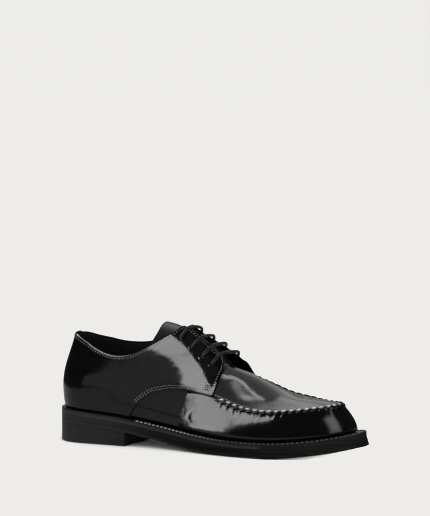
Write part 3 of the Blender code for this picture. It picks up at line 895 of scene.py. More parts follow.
@lru_cache(maxsize=None)
def sock_leather():
    return leather("sock_leather", bpy.context.scene.shoe_colours.sock, 0.45, 0.6, 1000.0, 0.3)


@lru_cache(maxsize=None)
def waxed_thread(name="thread"):
    """Waxed thread with a fine twist; the welt's thread gets painted shade towards the toe."""
    tint = getattr(bpy.context.scene.shoe_colours, name)
    material, net, shader = new_finish(
        "waxed_" + name, tint, Roughness=0.3, Coat_Weight=0.3, Coat_Roughness=0.2)
    place = net.add("ShaderNodeTexCoord").outputs["Object"]
    # Painted shade: the welt's thread is painted darker towards the toe
    if name == "welt_thread":
        net.set(shader, "Base Color", tone(net, ahead(net, place, -0.01, 0.04), tint, times(tint, 0.22)))
    twist = net.add("ShaderNodeTexWave", {"Vector": place, "Scale": 900.0, "Distortion": 2.0})
    bump = net.add("ShaderNodeBump", {"Height": twist.outputs["Fac"], "Strength": 0.3, "Distance": 0.0001})
    net.set(shader, "Normal", bump.outputs["Normal"])
    return material


@lru_cache(maxsize=None)
def waxed_cord():
    """Round waxed lace: the braid is in its shape, the fibres are here."""
    tint = bpy.context.scene.shoe_colours.cord
    material, net, shader = new_finish(
        "waxed_cord", tint, Roughness=0.42, Sheen_Weight=0.15, Sheen_Roughness=0.4)
    place = net.add("ShaderNodeTexCoord").outputs["Object"]
    fibre = net.add("ShaderNodeTexNoise", {"Vector": place, "Scale": 2600.0, "Detail": 2.0})
    bump = net.add("ShaderNodeBump", {"Height": fibre.outputs["Fac"], "Strength": 0.35, "Distance": 0.0001})
    net.set(shader, "Normal", bump.outputs["Normal"])
    return material


def buffed(name, tint, low, high, streak):
    """Satin edge of rubber or leather, buffed along its length in fine level streaks."""
    material, net, shader = new_finish(name, tint, Specular_IOR_Level=0.3)
    rub = group_node(net, rub_group(), From=0.53, To=0.62)
    place = net.add("ShaderNodeTexCoord").outputs["Object"]
    drawn = net.add("ShaderNodeVectorMath", {0: place, 1: (14.0, 14.0, streak)}, operation="MULTIPLY")
    lines = net.add("ShaderNodeTexNoise", {"Vector": drawn.outputs["Vector"], "Scale": 1.0, "Detail": 4.0})
    gloss = net.add("ShaderNodeMapRange", {
        "Value": lines.outputs["Fac"], "From Min": 0.3, "From Max": 0.7, "To Min": low, "To Max": high})
    net.set(shader, "Roughness", gloss.outputs["Result"])
    # Painted shade: the edge is painted darker from the waist to the toe and lighter at the heel; the rubbed
    # edges on top are wear
    painted_shade_ahead = ahead(net, place, -0.09, -0.03)
    streaks = net.add("ShaderNodeMapRange", {
        "Value": lines.outputs["Fac"], "From Min": 0.4, "From Max": 0.68}).outputs["Result"]
    back = tone(net, streaks, times(tint, 1.75), times(tint, 2.5))
    front = tone(net, streaks, times(tint, 0.6), times(tint, 1.35))
    wear_and_painted_shade = tone(net, rub.outputs["Rub"], tone(net, painted_shade_ahead, back, front), times(tint, 3))
    net.set(shader, "Base Color", wear_and_painted_shade)
    bump = net.add("ShaderNodeBump", {"Height": lines.outputs["Fac"], "Strength": 0.35, "Distance": 0.0002})
    net.set(shader, "Normal", bump.outputs["Normal"])
    return material


@lru_cache(maxsize=None)
def sole_rubber():
    return buffed("sole_rubber", bpy.context.scene.shoe_colours.rubber, 0.36, 0.5, 1600.0)


@lru_cache(maxsize=None)
def heel_rubber():
    return buffed("heel_rubber", bpy.context.scene.shoe_colours.rubber, 0.36, 0.5, 2000.0)


@lru_cache(maxsize=None)
def welt_leather():
    tint = times(bpy.context.scene.shoe_colours.rubber, 1.2)
    return buffed("welt_leather", tint, 0.34, 0.46, 1200.0)


# Upper

BACK_SECTIONS, WAIST_SECTIONS, FRONT_SECTIONS = 75, 30, 250
THROAT_SECTION = BACK_SECTIONS + WAIST_SECTIONS - 2
WALL_ROWS, WALL_EASE = 38, 1.5
TOP_ROWS, TOP_EASE = 42, 1.3
LINING_ROWS, LINING_EASE = 26, 1.2
COLLAR_THIN, LINING_FULL = 0.9, 0.3
SEAM_IN = 2.0
SEAM_FULL = 12.0
TURN_IN = ((3.6, 0.9), (2.8, 0.4))
TURN_LOW, TURN_RISE, TURN_REACH = 134.3, 8.6, 30.0
TURN_TOP, TURN_FADE = 1.1, (1.0, 1.3)
CREASE, CREASE_RISE = 2.1, 0.11
COLLAR_DROP = 0.025

# Gathers beside the apron seam: a second and longer wave, and how far they reach below and above it
SECOND_SHARE, SECOND_STRETCH, SECOND_TURN = 0.45, 2.37, 1.0
REACH_BELOW, REACH_WAVES = 0.13, ((0.05, 0.31, 0), (0.03, 0.83, 2))
REACH_ABOVE, SHARE_ABOVE = 0.1, 0.5

# Where the apron seam begins on each side, and its v on the inner side, which draws in to the tab
APRON_COUNT = 420
APRON_START = {OUTER: 171.0, INNER: 175.0}
INNER_SEAM = Table("section v", (0.54, 1.66), (0.568, 1.64), (0.58, 1.62), (0.6, 1.575), (0.62, 1.52),
                   (0.647, 1.4), (0.675, 1.22), (0.7, 1.1), (0.74, 1.02), (0.78, 1.0), (1.0, 1.0))


def seam_v(u, side):
    return INNER_SEAM("v", u) if side == INNER else np.ones(np.shape(u))


def apron_path():
    """Return (u, side) along the apron seam, from the outer tab round the toe to the inner tab."""
    outer = np.linspace(section_at(APRON_START[OUTER]), 1, APRON_COUNT)
    inner = np.linspace(1, section_at(APRON_START[INNER]), APRON_COUNT)[1:]
    return np.concatenate([outer, inner]), np.repeat([OUTER, INNER], [len(outer), len(inner)])


def apron_points(u, side):
    points = np.zeros((len(u), 3))
    for s in SIDES:
        here = side == s
        points[here] = last().at(u[here], seam_v(u[here], s), s)
    return points


@lru_cache(maxsize=1)
def apron_run():
    """Return the path of the seam with the length run along it, from the outer tab."""
    u, side = apron_path()
    points = apron_points(u, side)
    run = np.concatenate([[0], np.linalg.norm(np.diff(points, axis=0), axis=1).cumsum()])
    return u, side, points, run


def seam_run(u, side):
    """Return the length along the seam for sections of one side."""
    path_u, path_side, _, run = apron_run()
    here = path_side == side
    order = np.argsort(path_u[here])
    return np.interp(u, path_u[here][order], run[here][order])


def gathers(u, v, side):
    """Return how far the leather stands out in the small gathers beside the apron seam."""
    pitch = mm(sizes().seam_pitch)
    run = seam_run(u, side)
    station = shoulder(u, side)[..., 0]
    begun = smooth_step(station, TAB[side] + SEAM_IN, TAB[side] + SEAM_FULL)
    second = np.cos(2 * np.pi * run / (pitch * SECOND_STRETCH) + SECOND_TURN)
    wave = np.cos(2 * np.pi * run / pitch) + SECOND_SHARE * second
    reach = REACH_BELOW
    for size, pace, turn in REACH_WAVES:
        reach = reach + size * np.sin(run * pace + turn)
    over = v - seam_v(u, side)
    below, above = np.exp(-(over / reach) ** 2), np.exp(-(over / REACH_ABOVE) ** 2)
    return mm(sizes().gather_depth) * begun * wave * np.where(over < 0, below, SHARE_ABOVE * above)


def crease(v):
    """Return how far the leather turns in just over the welt."""
    return -CREASE * np.clip(1 - v / CREASE_RISE, 0, 1) ** 2


def upper_sections():
    turn, throat = section_at(TURN_LOW + TURN_RISE / 2), section_at(THROAT_END)
    back = np.linspace(0, turn, BACK_SECTIONS)[:-1]
    waist = np.linspace(turn, throat, WAIST_SECTIONS)[:-1]
    return np.concatenate([back, waist, np.linspace(throat, 1, FRONT_SECTIONS)])


def bent_sections(u, v, side):
    """Return u bent so that one section of the outer side follows the line where waist turns to vamp."""
    v = np.asarray(v, float)
    turn = section_at(TURN_LOW + TURN_RISE / 2)
    reach = section_at(TURN_LOW + TURN_REACH) - section_at(TURN_LOW)
    shift = section_at(TURN_LOW + TURN_RISE * np.minimum(v, TURN_TOP)) - turn
    near = smooth_step(1 - np.abs(u - turn) / reach, 0, 1)
    return u + shift * near * (1 - smooth_step(v, *TURN_FADE)) * (side == OUTER)


def upper_shares():
    """Return the rows of the upper, close together at the apron seam."""
    wall = 1 - np.linspace(1, 0, WALL_ROWS) ** WALL_EASE
    top = 1 + np.linspace(0, 1, TOP_ROWS)[1:] ** TOP_EASE
    return np.concatenate([wall, top])


class SHOE_OT_upper(bpy.types.Operator):
    """Make the vamp and apron with their gathers, and the lining inside"""

    bl_idname = "shoe.upper"
    bl_label = "Upper and lining"

    def execute(self, context):
        u = upper_sections()
        tops = {}
        for side in SIDES:
            tops[side] = collar_v(u, side) - COLLAR_DROP * (ridge(u, side)[..., 0] < FACING_TOP)
        outer, lining = [], []
        for inset, drop in TURN_IN:
            halves = [feather(bent_sections(u, 0, side), side, inset) for side in SIDES]
            outer.append(both_sides(*halves) - np.array([0, 0, drop]))
        for share in upper_shares():
            halves = []
            for side in SIDES:
                v = np.where(share <= 1, share, 1 + (share - 1) * (tops[side] - 1))
                bent = bent_sections(u, v, side)
                halves.append(last().lay(bent, v, side, gathers(bent, v, side) + crease(v)))
            outer.append(both_sides(*halves))
        for share in np.linspace(1, 0, LINING_ROWS) ** LINING_EASE:
            halves = []
            for side in SIDES:
                v = share * tops[side]
                depth = COLLAR_THIN + (WALL - COLLAR_THIN) * smooth_step(tops[side] - v, 0, LINING_FULL)
                halves.append(last().lay(u, v, side, -depth))
            lining.append(both_sides(*halves))
        outer, lining = np.array(outer), np.array(lining)
        size, turn = outer.shape[1], BACK_SECTIONS - 1
        ahead = np.arange(turn, size - turn + 1)
        behind = np.arange(-turn, turn + 1)
        opening = np.arange(-THROAT_SECTION, THROAT_SECTION + 1)
        back = Sheets()
        back.sheet(outer[:, behind], finish=0)
        back.sheet(lining, finish=1, ring=True)
        back.sheet(np.stack([outer[-1], lining[0]])[:, opening], finish=1)
        back.piece("vamp_back", [polished_leather(), lining_leather()], "upper_leather", ["upper"])
        seam = len(TURN_IN) + np.argmin(np.abs(upper_shares() - 1))
        for name, rows, finish in (("vamp_front", outer[:seam + 1], polished_leather()),
                                   ("apron_top", outer[seam:], apron_leather())):
            sheets = Sheets()
            sheets.sheet(rows[:, ahead])
            sheets.piece(name, [finish], "upper_leather", ["upper"])
        return {"FINISHED"}


class SHOE_OT_apron_seam(bpy.types.Operator):
    """Make the raised, hand-sewn seam of the apron: its pleated fold, its lumps and its fine stitches"""

    bl_idname = "shoe.apron_seam"
    bl_label = "Apron seam"

    STEP = 0.42
    ACROSS = 19
    SLANT = -1.0
    PINCH, PINCH_SHARE = 0.75, 0.16
    VALLEY, VALLEY_AT, VALLEY_HALF = 0.85, 0.05, 0.2
    BELOW, DOME = (-0.1, 0.3), 0.6
    SINK = 0.45
    INNER_RISE, INNER_EVEN, INNER_OVER, INNER_FADE = 2.7, 0.75, 60, (4, 40)
    END_FADE, END_LOW = 6, 0.35
    LUMP_AT, LUMP_LIFT, LUMP_SIZE, LUMP_TILT = 0.5, 0.3, (4.3, 1.9, 1.8), 0.25
    ROW_IN, ROW_SIZE = 3.7, (2.3, 0.8, 0.5)

    def fine_row(self, sheets, u, side):
        """Sew the fine row on the apron, a little in from the fold."""
        seam = seam_v(u, side)
        step = np.linalg.norm(last().at(u, seam + SMALL_V, side) - last().at(u, seam, side), axis=-1)
        v = seam + self.ROW_IN / (step / SMALL_V)
        row, ways = resample(last().at(u, v, side), mm(sizes().stitch_pitch))
        share, shares = np.linspace(0, 1, len(row)), np.linspace(0, 1, len(u))
        normals = last().normal(u, v, side)
        normals = unit(np.stack([np.interp(share, shares, normals[:, k]) for k in range(3)], -1))
        sew(sheets, row, normals, ways, self.ROW_SIZE)

    def execute(self, context):
        half, rise, pitch = (mm(x) for x in (sizes().seam_half, sizes().seam_rise, sizes().seam_pitch))
        u, side, points, run = apron_run()
        normals = np.zeros_like(points)
        for s in SIDES:
            here = side == s
            normals[here] = last().normal(u[here], seam_v(u[here], s), s)
        where = np.arange(0, run[-1], self.STEP)
        path = np.stack([np.interp(where, run, points[:, k]) for k in range(3)], -1)
        normal = unit(np.stack([np.interp(where, run, normals[:, k]) for k in range(3)], -1))
        way = unit(np.gradient(path, axis=0))
        up = np.cross(normal, way)
        up = up * np.sign((up * np.array([0, 0, 1.0])).sum(-1, keepdims=True) + 1e-9)
        across = np.linspace(-1, 1, self.ACROSS)[:, None]
        ends = smooth_step(where, 0, self.END_FADE) * smooth_step(run[-1] - where, 0, self.END_FADE)
        below = 1 - smooth_step(across, *self.BELOW)
        phase = (where[None] + across * half * self.SLANT) / pitch
        near = np.abs(phase - np.round(phase))
        tip = np.searchsorted(where, run[side == OUTER].max())
        inner = smooth_step(where, where[tip], where[tip] + self.INNER_OVER)
        depth = self.PINCH * (1 - self.INNER_EVEN * inner)
        pinch = 1 - depth * below * np.exp(-(near / self.PINCH_SHARE) ** 2)
        valley = 1 - self.VALLEY * np.exp(-((across - self.VALLEY_AT) / self.VALLEY_HALF) ** 2)
        dome = np.clip(1 - across ** 2, 0, 1) ** self.DOME * valley * (0.5 + 0.5 * below)
        rises = rise + self.INNER_RISE * inner * smooth_step(run[-1] - where, *self.INNER_FADE)
        swell = rises * dome * pinch * (self.END_LOW + (1 - self.END_LOW) * ends) - self.SINK
        grid = path[None] + up[None] * (across * half)[..., None] + normal[None] * swell[..., None]
        spots = np.arange(1, int(run[-1] / pitch)) * pitch
        spots = np.interp(spots, where, np.arange(len(where))).round().astype(int)
        row = Sheets()
        for s, name, span in ((OUTER, "outer", slice(0, tip + 1)), (INNER, "inner", slice(tip, None))):
            fold = Sheets()
            fold.sheet(grid[:, span])
            fold.piece("apron_fold_" + name, [polished_leather()], "upper_leather")
            at = spots[(spots < tip) == (s == OUTER)]
            lumps = Sheets()
            lifted = normal[at] * (rises[at] * self.LUMP_LIFT)[:, None]
            places = path[at] + up[at] * half * self.LUMP_AT + lifted
            sew(lumps, places, normal[at], unit(way[at] + up[at] * self.LUMP_TILT), self.LUMP_SIZE)
            # Painted shade: the lumps of the inner side take the near-black cord finish instead of the
            # thread
            finish = waxed_thread() if s == OUTER else waxed_cord()
            lumps.piece("apron_lumps_" + name, [finish], "lace_cord")
            self.fine_row(row, u[side == s], s)
        row.piece("apron_row", [waxed_thread()], "lace_cord")
        return {"FINISHED"}


# Quarters

QUARTER_ROWS = 52
HEEL_COUNT, COUNTER_COUNT, FACING_COUNT = 36, 40, 150
FACING_CROWD, FACING_SKEW = 0.11, 0.2
ROLL_ROWS = 7
COLLAR_ROLL, COLLAR_FADE, COLLAR_PAD = 2.6, (108, 128), 0.5
ROLL_REACH, INSIDE_DEPTH, UNDER_FROM = 0.6, 4, 112
RIM_ROUND, RIM_FOOT, TAB_ROUND = 0.3, 1.5, 0.5
STITCH_INSETS = (1.5, 3.5)
EDGE_INSET = 2.1
SEWN_FROM, SEWN_BLEND = 10.0, 4
STITCH_LIFT = 0.1
STITCH_GROOVE, GROOVE_HALF = 0.02, 0.5
EDGE_DROP, EDGE_HALF = 0.14, 0.3
TAB_CORNER = 2.6
EYELET_SIDES, EYELET_CLEAR = 28, 0.35
EYELET_RIM = ((1.5, -0.12), (1.0, 0.1), (0.4, 0.16), (0.1, 0.06), (0, -0.15), (0, -1.6))
BAR_TACK = dict(back=7.0, first=4.6, step=2.1, strokes=3, size=(6.0, 0.95, 0.8))


def quarter_sections(side):
    heel = np.linspace(0, HEEL_SHARE, HEEL_COUNT)[:-1]
    counter = section_at(np.linspace(HEEL_CENTRE, QUARTER_START, COUNTER_COUNT)[:-1])
    spread = np.linspace(0, 1, FACING_COUNT)
    skew = 1 + FACING_SKEW * np.cos(np.pi * spread)
    spread = spread - FACING_CROWD * np.sin(2 * np.pi * spread) * skew
    facing = section_at(QUARTER_START + (TAB[side] - QUARTER_START) * spread)
    return np.concatenate([heel, counter, facing])


def pressed(distance, rows):
    """Return how far leather sinks at an edge and in the grooves of its stitch rows."""
    out = -EDGE_DROP * np.exp(-(distance / EDGE_HALF) ** 2)
    for row in rows:
        out = out - STITCH_GROOVE * np.exp(-((distance - row) / GROOVE_HALF) ** 2)
    return out


def eyelet_places(side):
    """Return (u, v) of the eyelets of one facing, top to bottom."""
    places = []
    for station, inset in zip(EYELETS[side], EYELET_INSETS):
        u = section_at(station)
        v = np.linspace(EYELET_LOW, float(facing_v(u, side)), 141)
        points = last_point(np.full(len(v), u), v, side)
        to_edge = np.linalg.norm(np.diff(points, axis=0), axis=1)[::-1].cumsum()[::-1]
        places.append((float(u), float(v[np.argmin(np.abs(to_edge - inset))])))
    return places


class Quarter:
    """Face, edges and eyelets of one quarter as sheets, with the surface that its stitches lie on."""

    def __init__(self, side):
        self.side = side
        u = quarter_sections(side)
        self.u = u
        self.station = ridge(u, side)[..., 0]
        low = quarter_low(u, side)
        top = np.minimum(collar_v(u, side), facing_v(u, side))
        corner = np.clip((TAB[side] - self.station) / TAB_CORNER, 0, 1)
        corner = TAB_CORNER * (1 - np.sqrt(1 - (1 - corner) ** 2))
        step = np.linalg.norm(last_point(u, low + SMALL_V, side) - last_point(u, low, side), axis=-1)
        low = low + SMALL_V * corner / step
        collar = 1 - smooth_step(self.station, *COLLAR_FADE)
        self.v, from_low = edge_rows(u, side, low, top - SMALL_V * collar, QUARTER_ROWS)
        plain = quarter_skin(u[None], self.v, side, np.zeros(self.v.shape))
        steps = np.linalg.norm(np.diff(plain, axis=1), axis=-1)[:, ::-1].cumsum(axis=1)[:, ::-1]
        from_front = np.pad(steps, ((0, 0), (0, 1)))
        sewn = smooth_step(self.station, QUARTER_START, QUARTER_START + SEWN_BLEND)
        sunk = sewn * pressed(from_low, STITCH_INSETS) + (1 - sewn) * crease(self.v)
        sunk = sunk + pressed(from_low[-1:] - from_low, (EDGE_INSET,)) + pressed(from_front, (EDGE_INSET,))
        self.face = quarter_skin(u[None], self.v, side, sunk)
        self.face[:, 0, 1] = 0
        under = quarter_skin(u[None], self.v, side, np.full(self.v.shape, -QUARTER_THICK))
        normal = unit(self.face - under)
        self.sheets = Sheets()
        flip = side == INNER
        self.sheets.sheet(self.face, flip=flip)
        self.drop_eyelets()
        lift = unit(self.face[-1] - self.face[-3])
        depth = QUARTER_THICK + (COLLAR_ROLL - QUARTER_THICK) * collar
        turn = np.linspace(0, np.pi, ROLL_ROWS)[:, None, None]
        reach = np.minimum(depth / 2, ROLL_REACH)[None, :, None]
        roll = self.face[-1] + lift * reach * np.sin(turn)
        roll = roll - normal[-1] * (depth / 2)[None, :, None] * (1 - np.cos(turn))
        inside = roll[-1] - lift * INSIDE_DEPTH + normal[-1] * (COLLAR_PAD * collar)[:, None]
        self.edge = Sheets()
        self.edge.sheet(np.concatenate([roll, inside[None]]), flip=flip)
        front = self.station > UNDER_FROM
        self.sheets.sheet(under[:, front], flip=not flip)
        fall = unit(self.face[0] - self.face[2])
        turn = np.linspace(0, np.pi / 2, 4)[:, None, None]
        rim = self.face[0] + fall * RIM_ROUND * np.sin(turn) - normal[0] * RIM_ROUND * (1 - np.cos(turn))
        foot = rim[-1] - normal[0] * RIM_FOOT
        self.sheets.sheet(np.concatenate([rim, foot[None]])[::-1], flip=flip)
        onward = unit(self.face[:, -1] - self.face[:, -3])
        turn = np.linspace(0, np.pi, ROLL_ROWS)[None, :, None]
        tab = self.face[:, -1:] + onward[:, None] * TAB_ROUND * np.sin(turn)
        tab = tab - normal[:, -1:] * QUARTER_THICK / 2 * (1 - np.cos(turn))
        self.sheets.sheet(tab, flip=flip)
        skin = Sheets()
        skin.sheet(self.face, flip=flip)
        self.tree = skin.tree()

    def drop_eyelets(self):
        """Open the face at the eyelets and give each hole a pressed rim and a wall."""
        radius = mm(sizes().eyelet_radius)
        points = self.sheets.all_points()
        centres = points[np.array(self.sheets.faces)].mean(axis=1)
        holes = [(quarter_skin(u, v, self.side, 0.0), last().normal(u, v, self.side))
                 for u, v in eyelet_places(self.side)]
        near = np.min([np.linalg.norm(centres - hole, axis=1) for hole, _ in holes], axis=0)
        kept = [i for i, d in enumerate(near) if d > radius + EYELET_CLEAR]
        self.sheets.faces = [self.sheets.faces[i] for i in kept]
        self.sheets.finishes = [0] * len(kept)
        angle = np.linspace(0, 2 * np.pi, EYELET_SIDES, endpoint=False)
        for hole, normal in holes:
            x = unit(np.cross(normal, [0.0, 0.0, 1.0]))
            y = np.cross(normal, x)
            ring = np.cos(angle)[:, None] * x + np.sin(angle)[:, None] * y
            grid = [hole + ring * (radius + out) + normal * rise for out, rise in EYELET_RIM]
            self.sheets.sheet(grid, ring=True)

    def rows(self):
        """Return the stitch rows: the double row of the lower edge, the tab, and the collar and facing."""
        pitch = mm(sizes().stitch_pitch)
        seam = self.u >= section_at(QUARTER_START + SEWN_FROM)
        found = [offset_row(self.tree, self.face[0, seam], self.face[4, seam], inset, pitch)
                 for inset in STITCH_INSETS]
        found.append(offset_row(self.tree, self.face[2:-2, -1], self.face[2:-2, -4], EDGE_INSET, pitch))
        found.append(offset_row(self.tree, self.face[-1, :-3], self.face[-4, :-3], EDGE_INSET, pitch))
        return found

    def bar_tack(self):
        """Return the centres, normals and directions of the short strokes at the tab's lower corner."""
        strokes = []
        back = np.argmin(np.abs(self.station - (TAB[self.side] - BAR_TACK["back"])))
        edge, inside = self.face[0, back], self.face[4, back]
        for i in range(BAR_TACK["strokes"]):
            spot = edge + unit(inside - edge) * (BAR_TACK["first"] + BAR_TACK["step"] * i)
            point, normal = snap(self.tree, [spot])
            way = self.face[4, back + 3] - self.face[4, back - 3]
            strokes.append((point[0], normal[0], way))
        return [np.array(column) for column in zip(*strokes)]


@lru_cache(maxsize=None)
def quarter(side):
    return Quarter(side)


class SHOE_OT_quarters(bpy.types.Operator):
    """Make both quarters with their facings, eyelets and rolled edges"""

    bl_idname = "shoe.quarters"
    bl_label = "Quarters"

    def execute(self, context):
        for side, name in ((OUTER, "quarter_outer"), (INNER, "quarter_inner")):
            quarter(side).sheets.piece(name + "_panel", [polished_leather()], "upper_leather", [name])
            quarter(side).edge.piece(name + "_edge", [polished_leather()], "upper_leather", [name])
        return {"FINISHED"}


class SHOE_OT_stitching(bpy.types.Operator):
    """Sew the rows of stitches and the bar tacks of the quarters"""

    bl_idname = "shoe.stitching"
    bl_label = "Stitching"

    def execute(self, context):
        tacks = Sheets()
        for side, name in ((OUTER, "stitches_outer"), (INNER, "stitches_inner")):
            sheets = Sheets()
            for points, normals, ways in quarter(side).rows():
                sew(sheets, points, normals, ways, stitch_size(), sink=-STITCH_LIFT)
            sew(tacks, *quarter(side).bar_tack(), BAR_TACK["size"])
            sheets.piece(name, [waxed_thread()], "lace_cord")
        tacks.piece("bar_tacks", [waxed_cord()], "lace_cord")
        return {"FINISHED"}


# Tongue, lace and insole

RIM_ROWS = 5


def thick_sheet(grid, thickness):
    """Return a sheet of a thickness under a grid of points: a rounded rim, and a second finish below."""
    along = np.gradient(grid, axis=1)
    across = np.gradient(grid, axis=0)
    normal = unit(np.cross(along, across))
    under = grid - normal * thickness
    sheets = Sheets()
    sheets.sheet(grid)
    sheets.sheet(under, finish=1, flip=True)
    rows, columns = grid.shape[:2]
    loop = [(0, c) for c in range(columns)] + [(r, columns - 1) for r in range(1, rows)]
    loop += [(rows - 1, c) for c in range(columns - 2, -1, -1)] + [(r, 0) for r in range(rows - 2, 0, -1)]
    r, c = np.array(loop).T
    away = -across[r, c] * (r == 0)[:, None] + across[r, c] * (r == rows - 1)[:, None]
    away = away - along[r, c] * (c == 0)[:, None] + along[r, c] * (c == columns - 1)[:, None]
    away = unit(away)
    turn = np.linspace(0, np.pi, RIM_ROWS)[:, None, None]
    rim = grid[r, c] + away * thickness / 2 * np.sin(turn)
    rim = rim - normal[r, c] * thickness / 2 * (1 - np.cos(turn))
    sheets.sheet(rim, ring=True, flip=True)
    return sheets


TONGUE_ROWS, TONGUE_SIDE, TONGUE_BRIDGE, TONGUE_PASSES, TONGUE_SEWN = 70, 16, 18, 12, 2.6


def tongue_grid():
    depth = -(WALL + TONGUE_GAP)
    rows = []
    for share in np.linspace(0, 1, TONGUE_ROWS):
        halves = []
        for side in SIDES:
            edge = TONGUE_EDGE + (TONGUE_ROOT_EDGE - TONGUE_EDGE) * share
            v = np.linspace(edge, TONGUE_MIDDLE, TONGUE_SIDE)
            top_end = TONGUE_TIP + TONGUE_TIP_BEND * smooth_step(v, TONGUE_EDGE, TONGUE_MIDDLE)
            u = section_at(top_end + (TONGUE_ROOT - top_end) * share)
            halves.append(last().lay(u, v, side, np.full(len(v), depth)))
        outer, inner = halves
        crown = TONGUE("crown", outer[-1, 0])
        across = np.linspace(0, 1, TONGUE_BRIDGE)[1:-1, None]
        bridge = outer[-1] * (1 - across) + inner[-1] * across
        bridge[:, 2] += 4 * crown * (across * (1 - across))[:, 0]
        rows.append(np.concatenate([outer, bridge, inner[::-1]]))
    grid = np.array(rows)
    for _ in range(TONGUE_PASSES):
        near = (grid[:, :-2] + grid[:, 2:]) / 2
        grid[:, 1:-1] = (grid[:, 1:-1] + near) / 2
    return grid


class SHOE_OT_tongue(bpy.types.Operator):
    """Make the tongue with its folded edge and stitch row"""

    bl_idname = "shoe.tongue"
    bl_label = "Tongue"

    def execute(self, context):
        grid = tongue_grid()
        sheets = thick_sheet(grid, TONGUE_THICK)
        tree = sheets.tree()
        sheets.piece("tongue_panel", [tongue_leather(), lining_leather()], "tongue_leather", ["tongue"])
        row = Sheets()
        pitch = mm(sizes().stitch_pitch)
        sew(row, *offset_row(tree, grid[0, 1:-1], grid[4, 1:-1], TONGUE_SEWN, pitch), stitch_size())
        row.piece("tongue_stitches", [waxed_thread()], "lace_cord")
        return {"FINISHED"}


LACE_RISE = {
    OUTER: ((0.45, 0.0), (0.75, 0.0), (1.0, 0.1)),
    INNER: ((0.4, 0.2), (0.6, 0.6), (0.8, 1.3), (1.0, 1.5)),
}
LACE_LEAN = {OUTER: (4.4, 4.5, 3.0, 1.2), INNER: (2.9, 3.2, 3.3, 2.5)}
LACE_PASSES, LACE_STEP, LACE_SIDES, CURVE_STEPS = 150, 0.3, 24, 24

# Way of the lace out of an eyelet: millimetres along the facing and out from it, then clear of it
LACE_INSIDE = ((0.0, -3.2), (0.0, -1.2), (0.5, 0.7))
LACE_CLEAR = (2.2, 0.15)


def lace_route(number):
    """Return the run of one bar: out of the outer eyelet, over both facings, into the inner eyelet."""
    radius = mm(sizes().lace_radius)
    halves = []
    for side in SIDES:
        u, v = eyelet_places(side)[number]
        lean = float(section_at(LACE_LEAN[side][number]) - section_at(0.0))
        edge = float(facing_v(u + lean, side))
        step = SMALL_V / 2
        run = (edge - v) * np.linalg.norm(last().at(u, v + step, side) - last().at(u, v, side)) / step
        steps = [(along / run, out) for along, out in LACE_INSIDE]
        steps.append((LACE_CLEAR[0] / run, radius + LACE_CLEAR[1]))
        steps += [(share, radius + rise) for share, rise in LACE_RISE[side]]
        halves.append(np.array([
            quarter_skin(u + lean * share, v + (edge - v) * share, side, out) for share, out in steps]))
    outer, inner = halves
    across = np.array([[0.25], [0.5], [0.75]])
    bridge = outer[-1] * (1 - across) + inner[-1] * across
    bridge[:, 2] += 4 * LACE_CROWN * (across * (1 - across))[:, 0]
    route = fair_path(np.concatenate([outer, bridge, inner[::-1]]), LACE_STEP)
    for _ in range(LACE_PASSES):
        route[1:-1] += (route[:-2] + route[2:] - 2 * route[1:-1]) / 4
    return route


def fair_path(points, step):
    """Return points at a fine step along a smooth curve through the given ones."""
    padded = np.concatenate([[2 * points[0] - points[1]], points, [2 * points[-1] - points[-2]]])
    fine = []
    for i in range(len(points) - 1):
        t = np.linspace(0, 1, CURVE_STEPS, endpoint=False)[:, None]
        fine.append(sum(padded[i + k] * w for k, w in enumerate(Last.weights(t))))
    return resample(np.concatenate(fine + [points[-1:]]), step)[0]


def braid(angle, run):
    """Return the relief of a round braid: two sets of strands wound against each other."""
    turns, strands, depth, middle = 0.62, 5, 0.07, 0.6
    left = np.cos(strands * (angle + run * turns))
    right = np.cos(strands * (angle - run * turns))
    return 1 + depth * (np.maximum(left, right) - middle)


class SHOE_OT_lace(bpy.types.Operator):
    """Make the four bars of round lace, each from eyelet to eyelet"""

    bl_idname = "shoe.lace"
    bl_label = "Lace"

    def execute(self, context):
        sheets = Sheets()
        for number in range(len(EYELET_INSETS)):
            tube(sheets, lace_route(number), mm(sizes().lace_radius), LACE_SIDES, braid)
        bars = [f"lace_bar_{number + 1}" for number in range(len(EYELET_INSETS))]
        sheets.piece("lace", [waxed_cord()], "lace_cord", bars)
        return {"FINISHED"}


HEEL_SECTIONS, MIDDLE_SECTIONS, TOE_SECTIONS = 34, 110, 70
BREAST_SECTIONS, BREAST_POINTS = 30, 25


def sole_sections():
    heel = np.linspace(0, HEEL_SHARE, HEEL_SECTIONS)[:-1]
    middle = section_at(np.linspace(HEEL_CENTRE, TOE_CENTRE, MIDDLE_SECTIONS)[:-1])
    toe = np.linspace(1 - TOE_SHARE, 1, TOE_SECTIONS)
    return np.concatenate([heel, middle, toe])


def welt_top(x):
    return SOLE_HEIGHT("top", x)


def outsole_top(x):
    return welt_top(x) - WELT_THICK - JOINT_GAP


def outsole_bottom(x):
    return np.maximum(SOLE_HEIGHT("bottom", x), 0)


def outline_ring(u, inset, heights):
    halves = []
    for side in SIDES:
        x, y = outline(u, side, inset)
        halves.append(np.stack([x, y, heights(x)], -1))
    return both_sides(*halves)


def feather_ring(u, inset, heights):
    halves = []
    for side in SIDES:
        points = feather(u, side, inset)
        points[:, 2] = heights(points[:, 0])
        halves.append(points)
    return both_sides(*halves)


def cap(sheets, ring, count, flip):
    """Close a ring whose two sides meet at both ends, with a strip of faces from side to side."""
    total = 2 * count - 2
    faces = []
    for i in range(count - 1):
        corners = [i, i + 1, total - i - 1, total - i]
        face = tuple(dict.fromkeys(c % total for c in corners))
        faces.append(face[::-1] if flip else face)
    sheets.add(ring, faces)


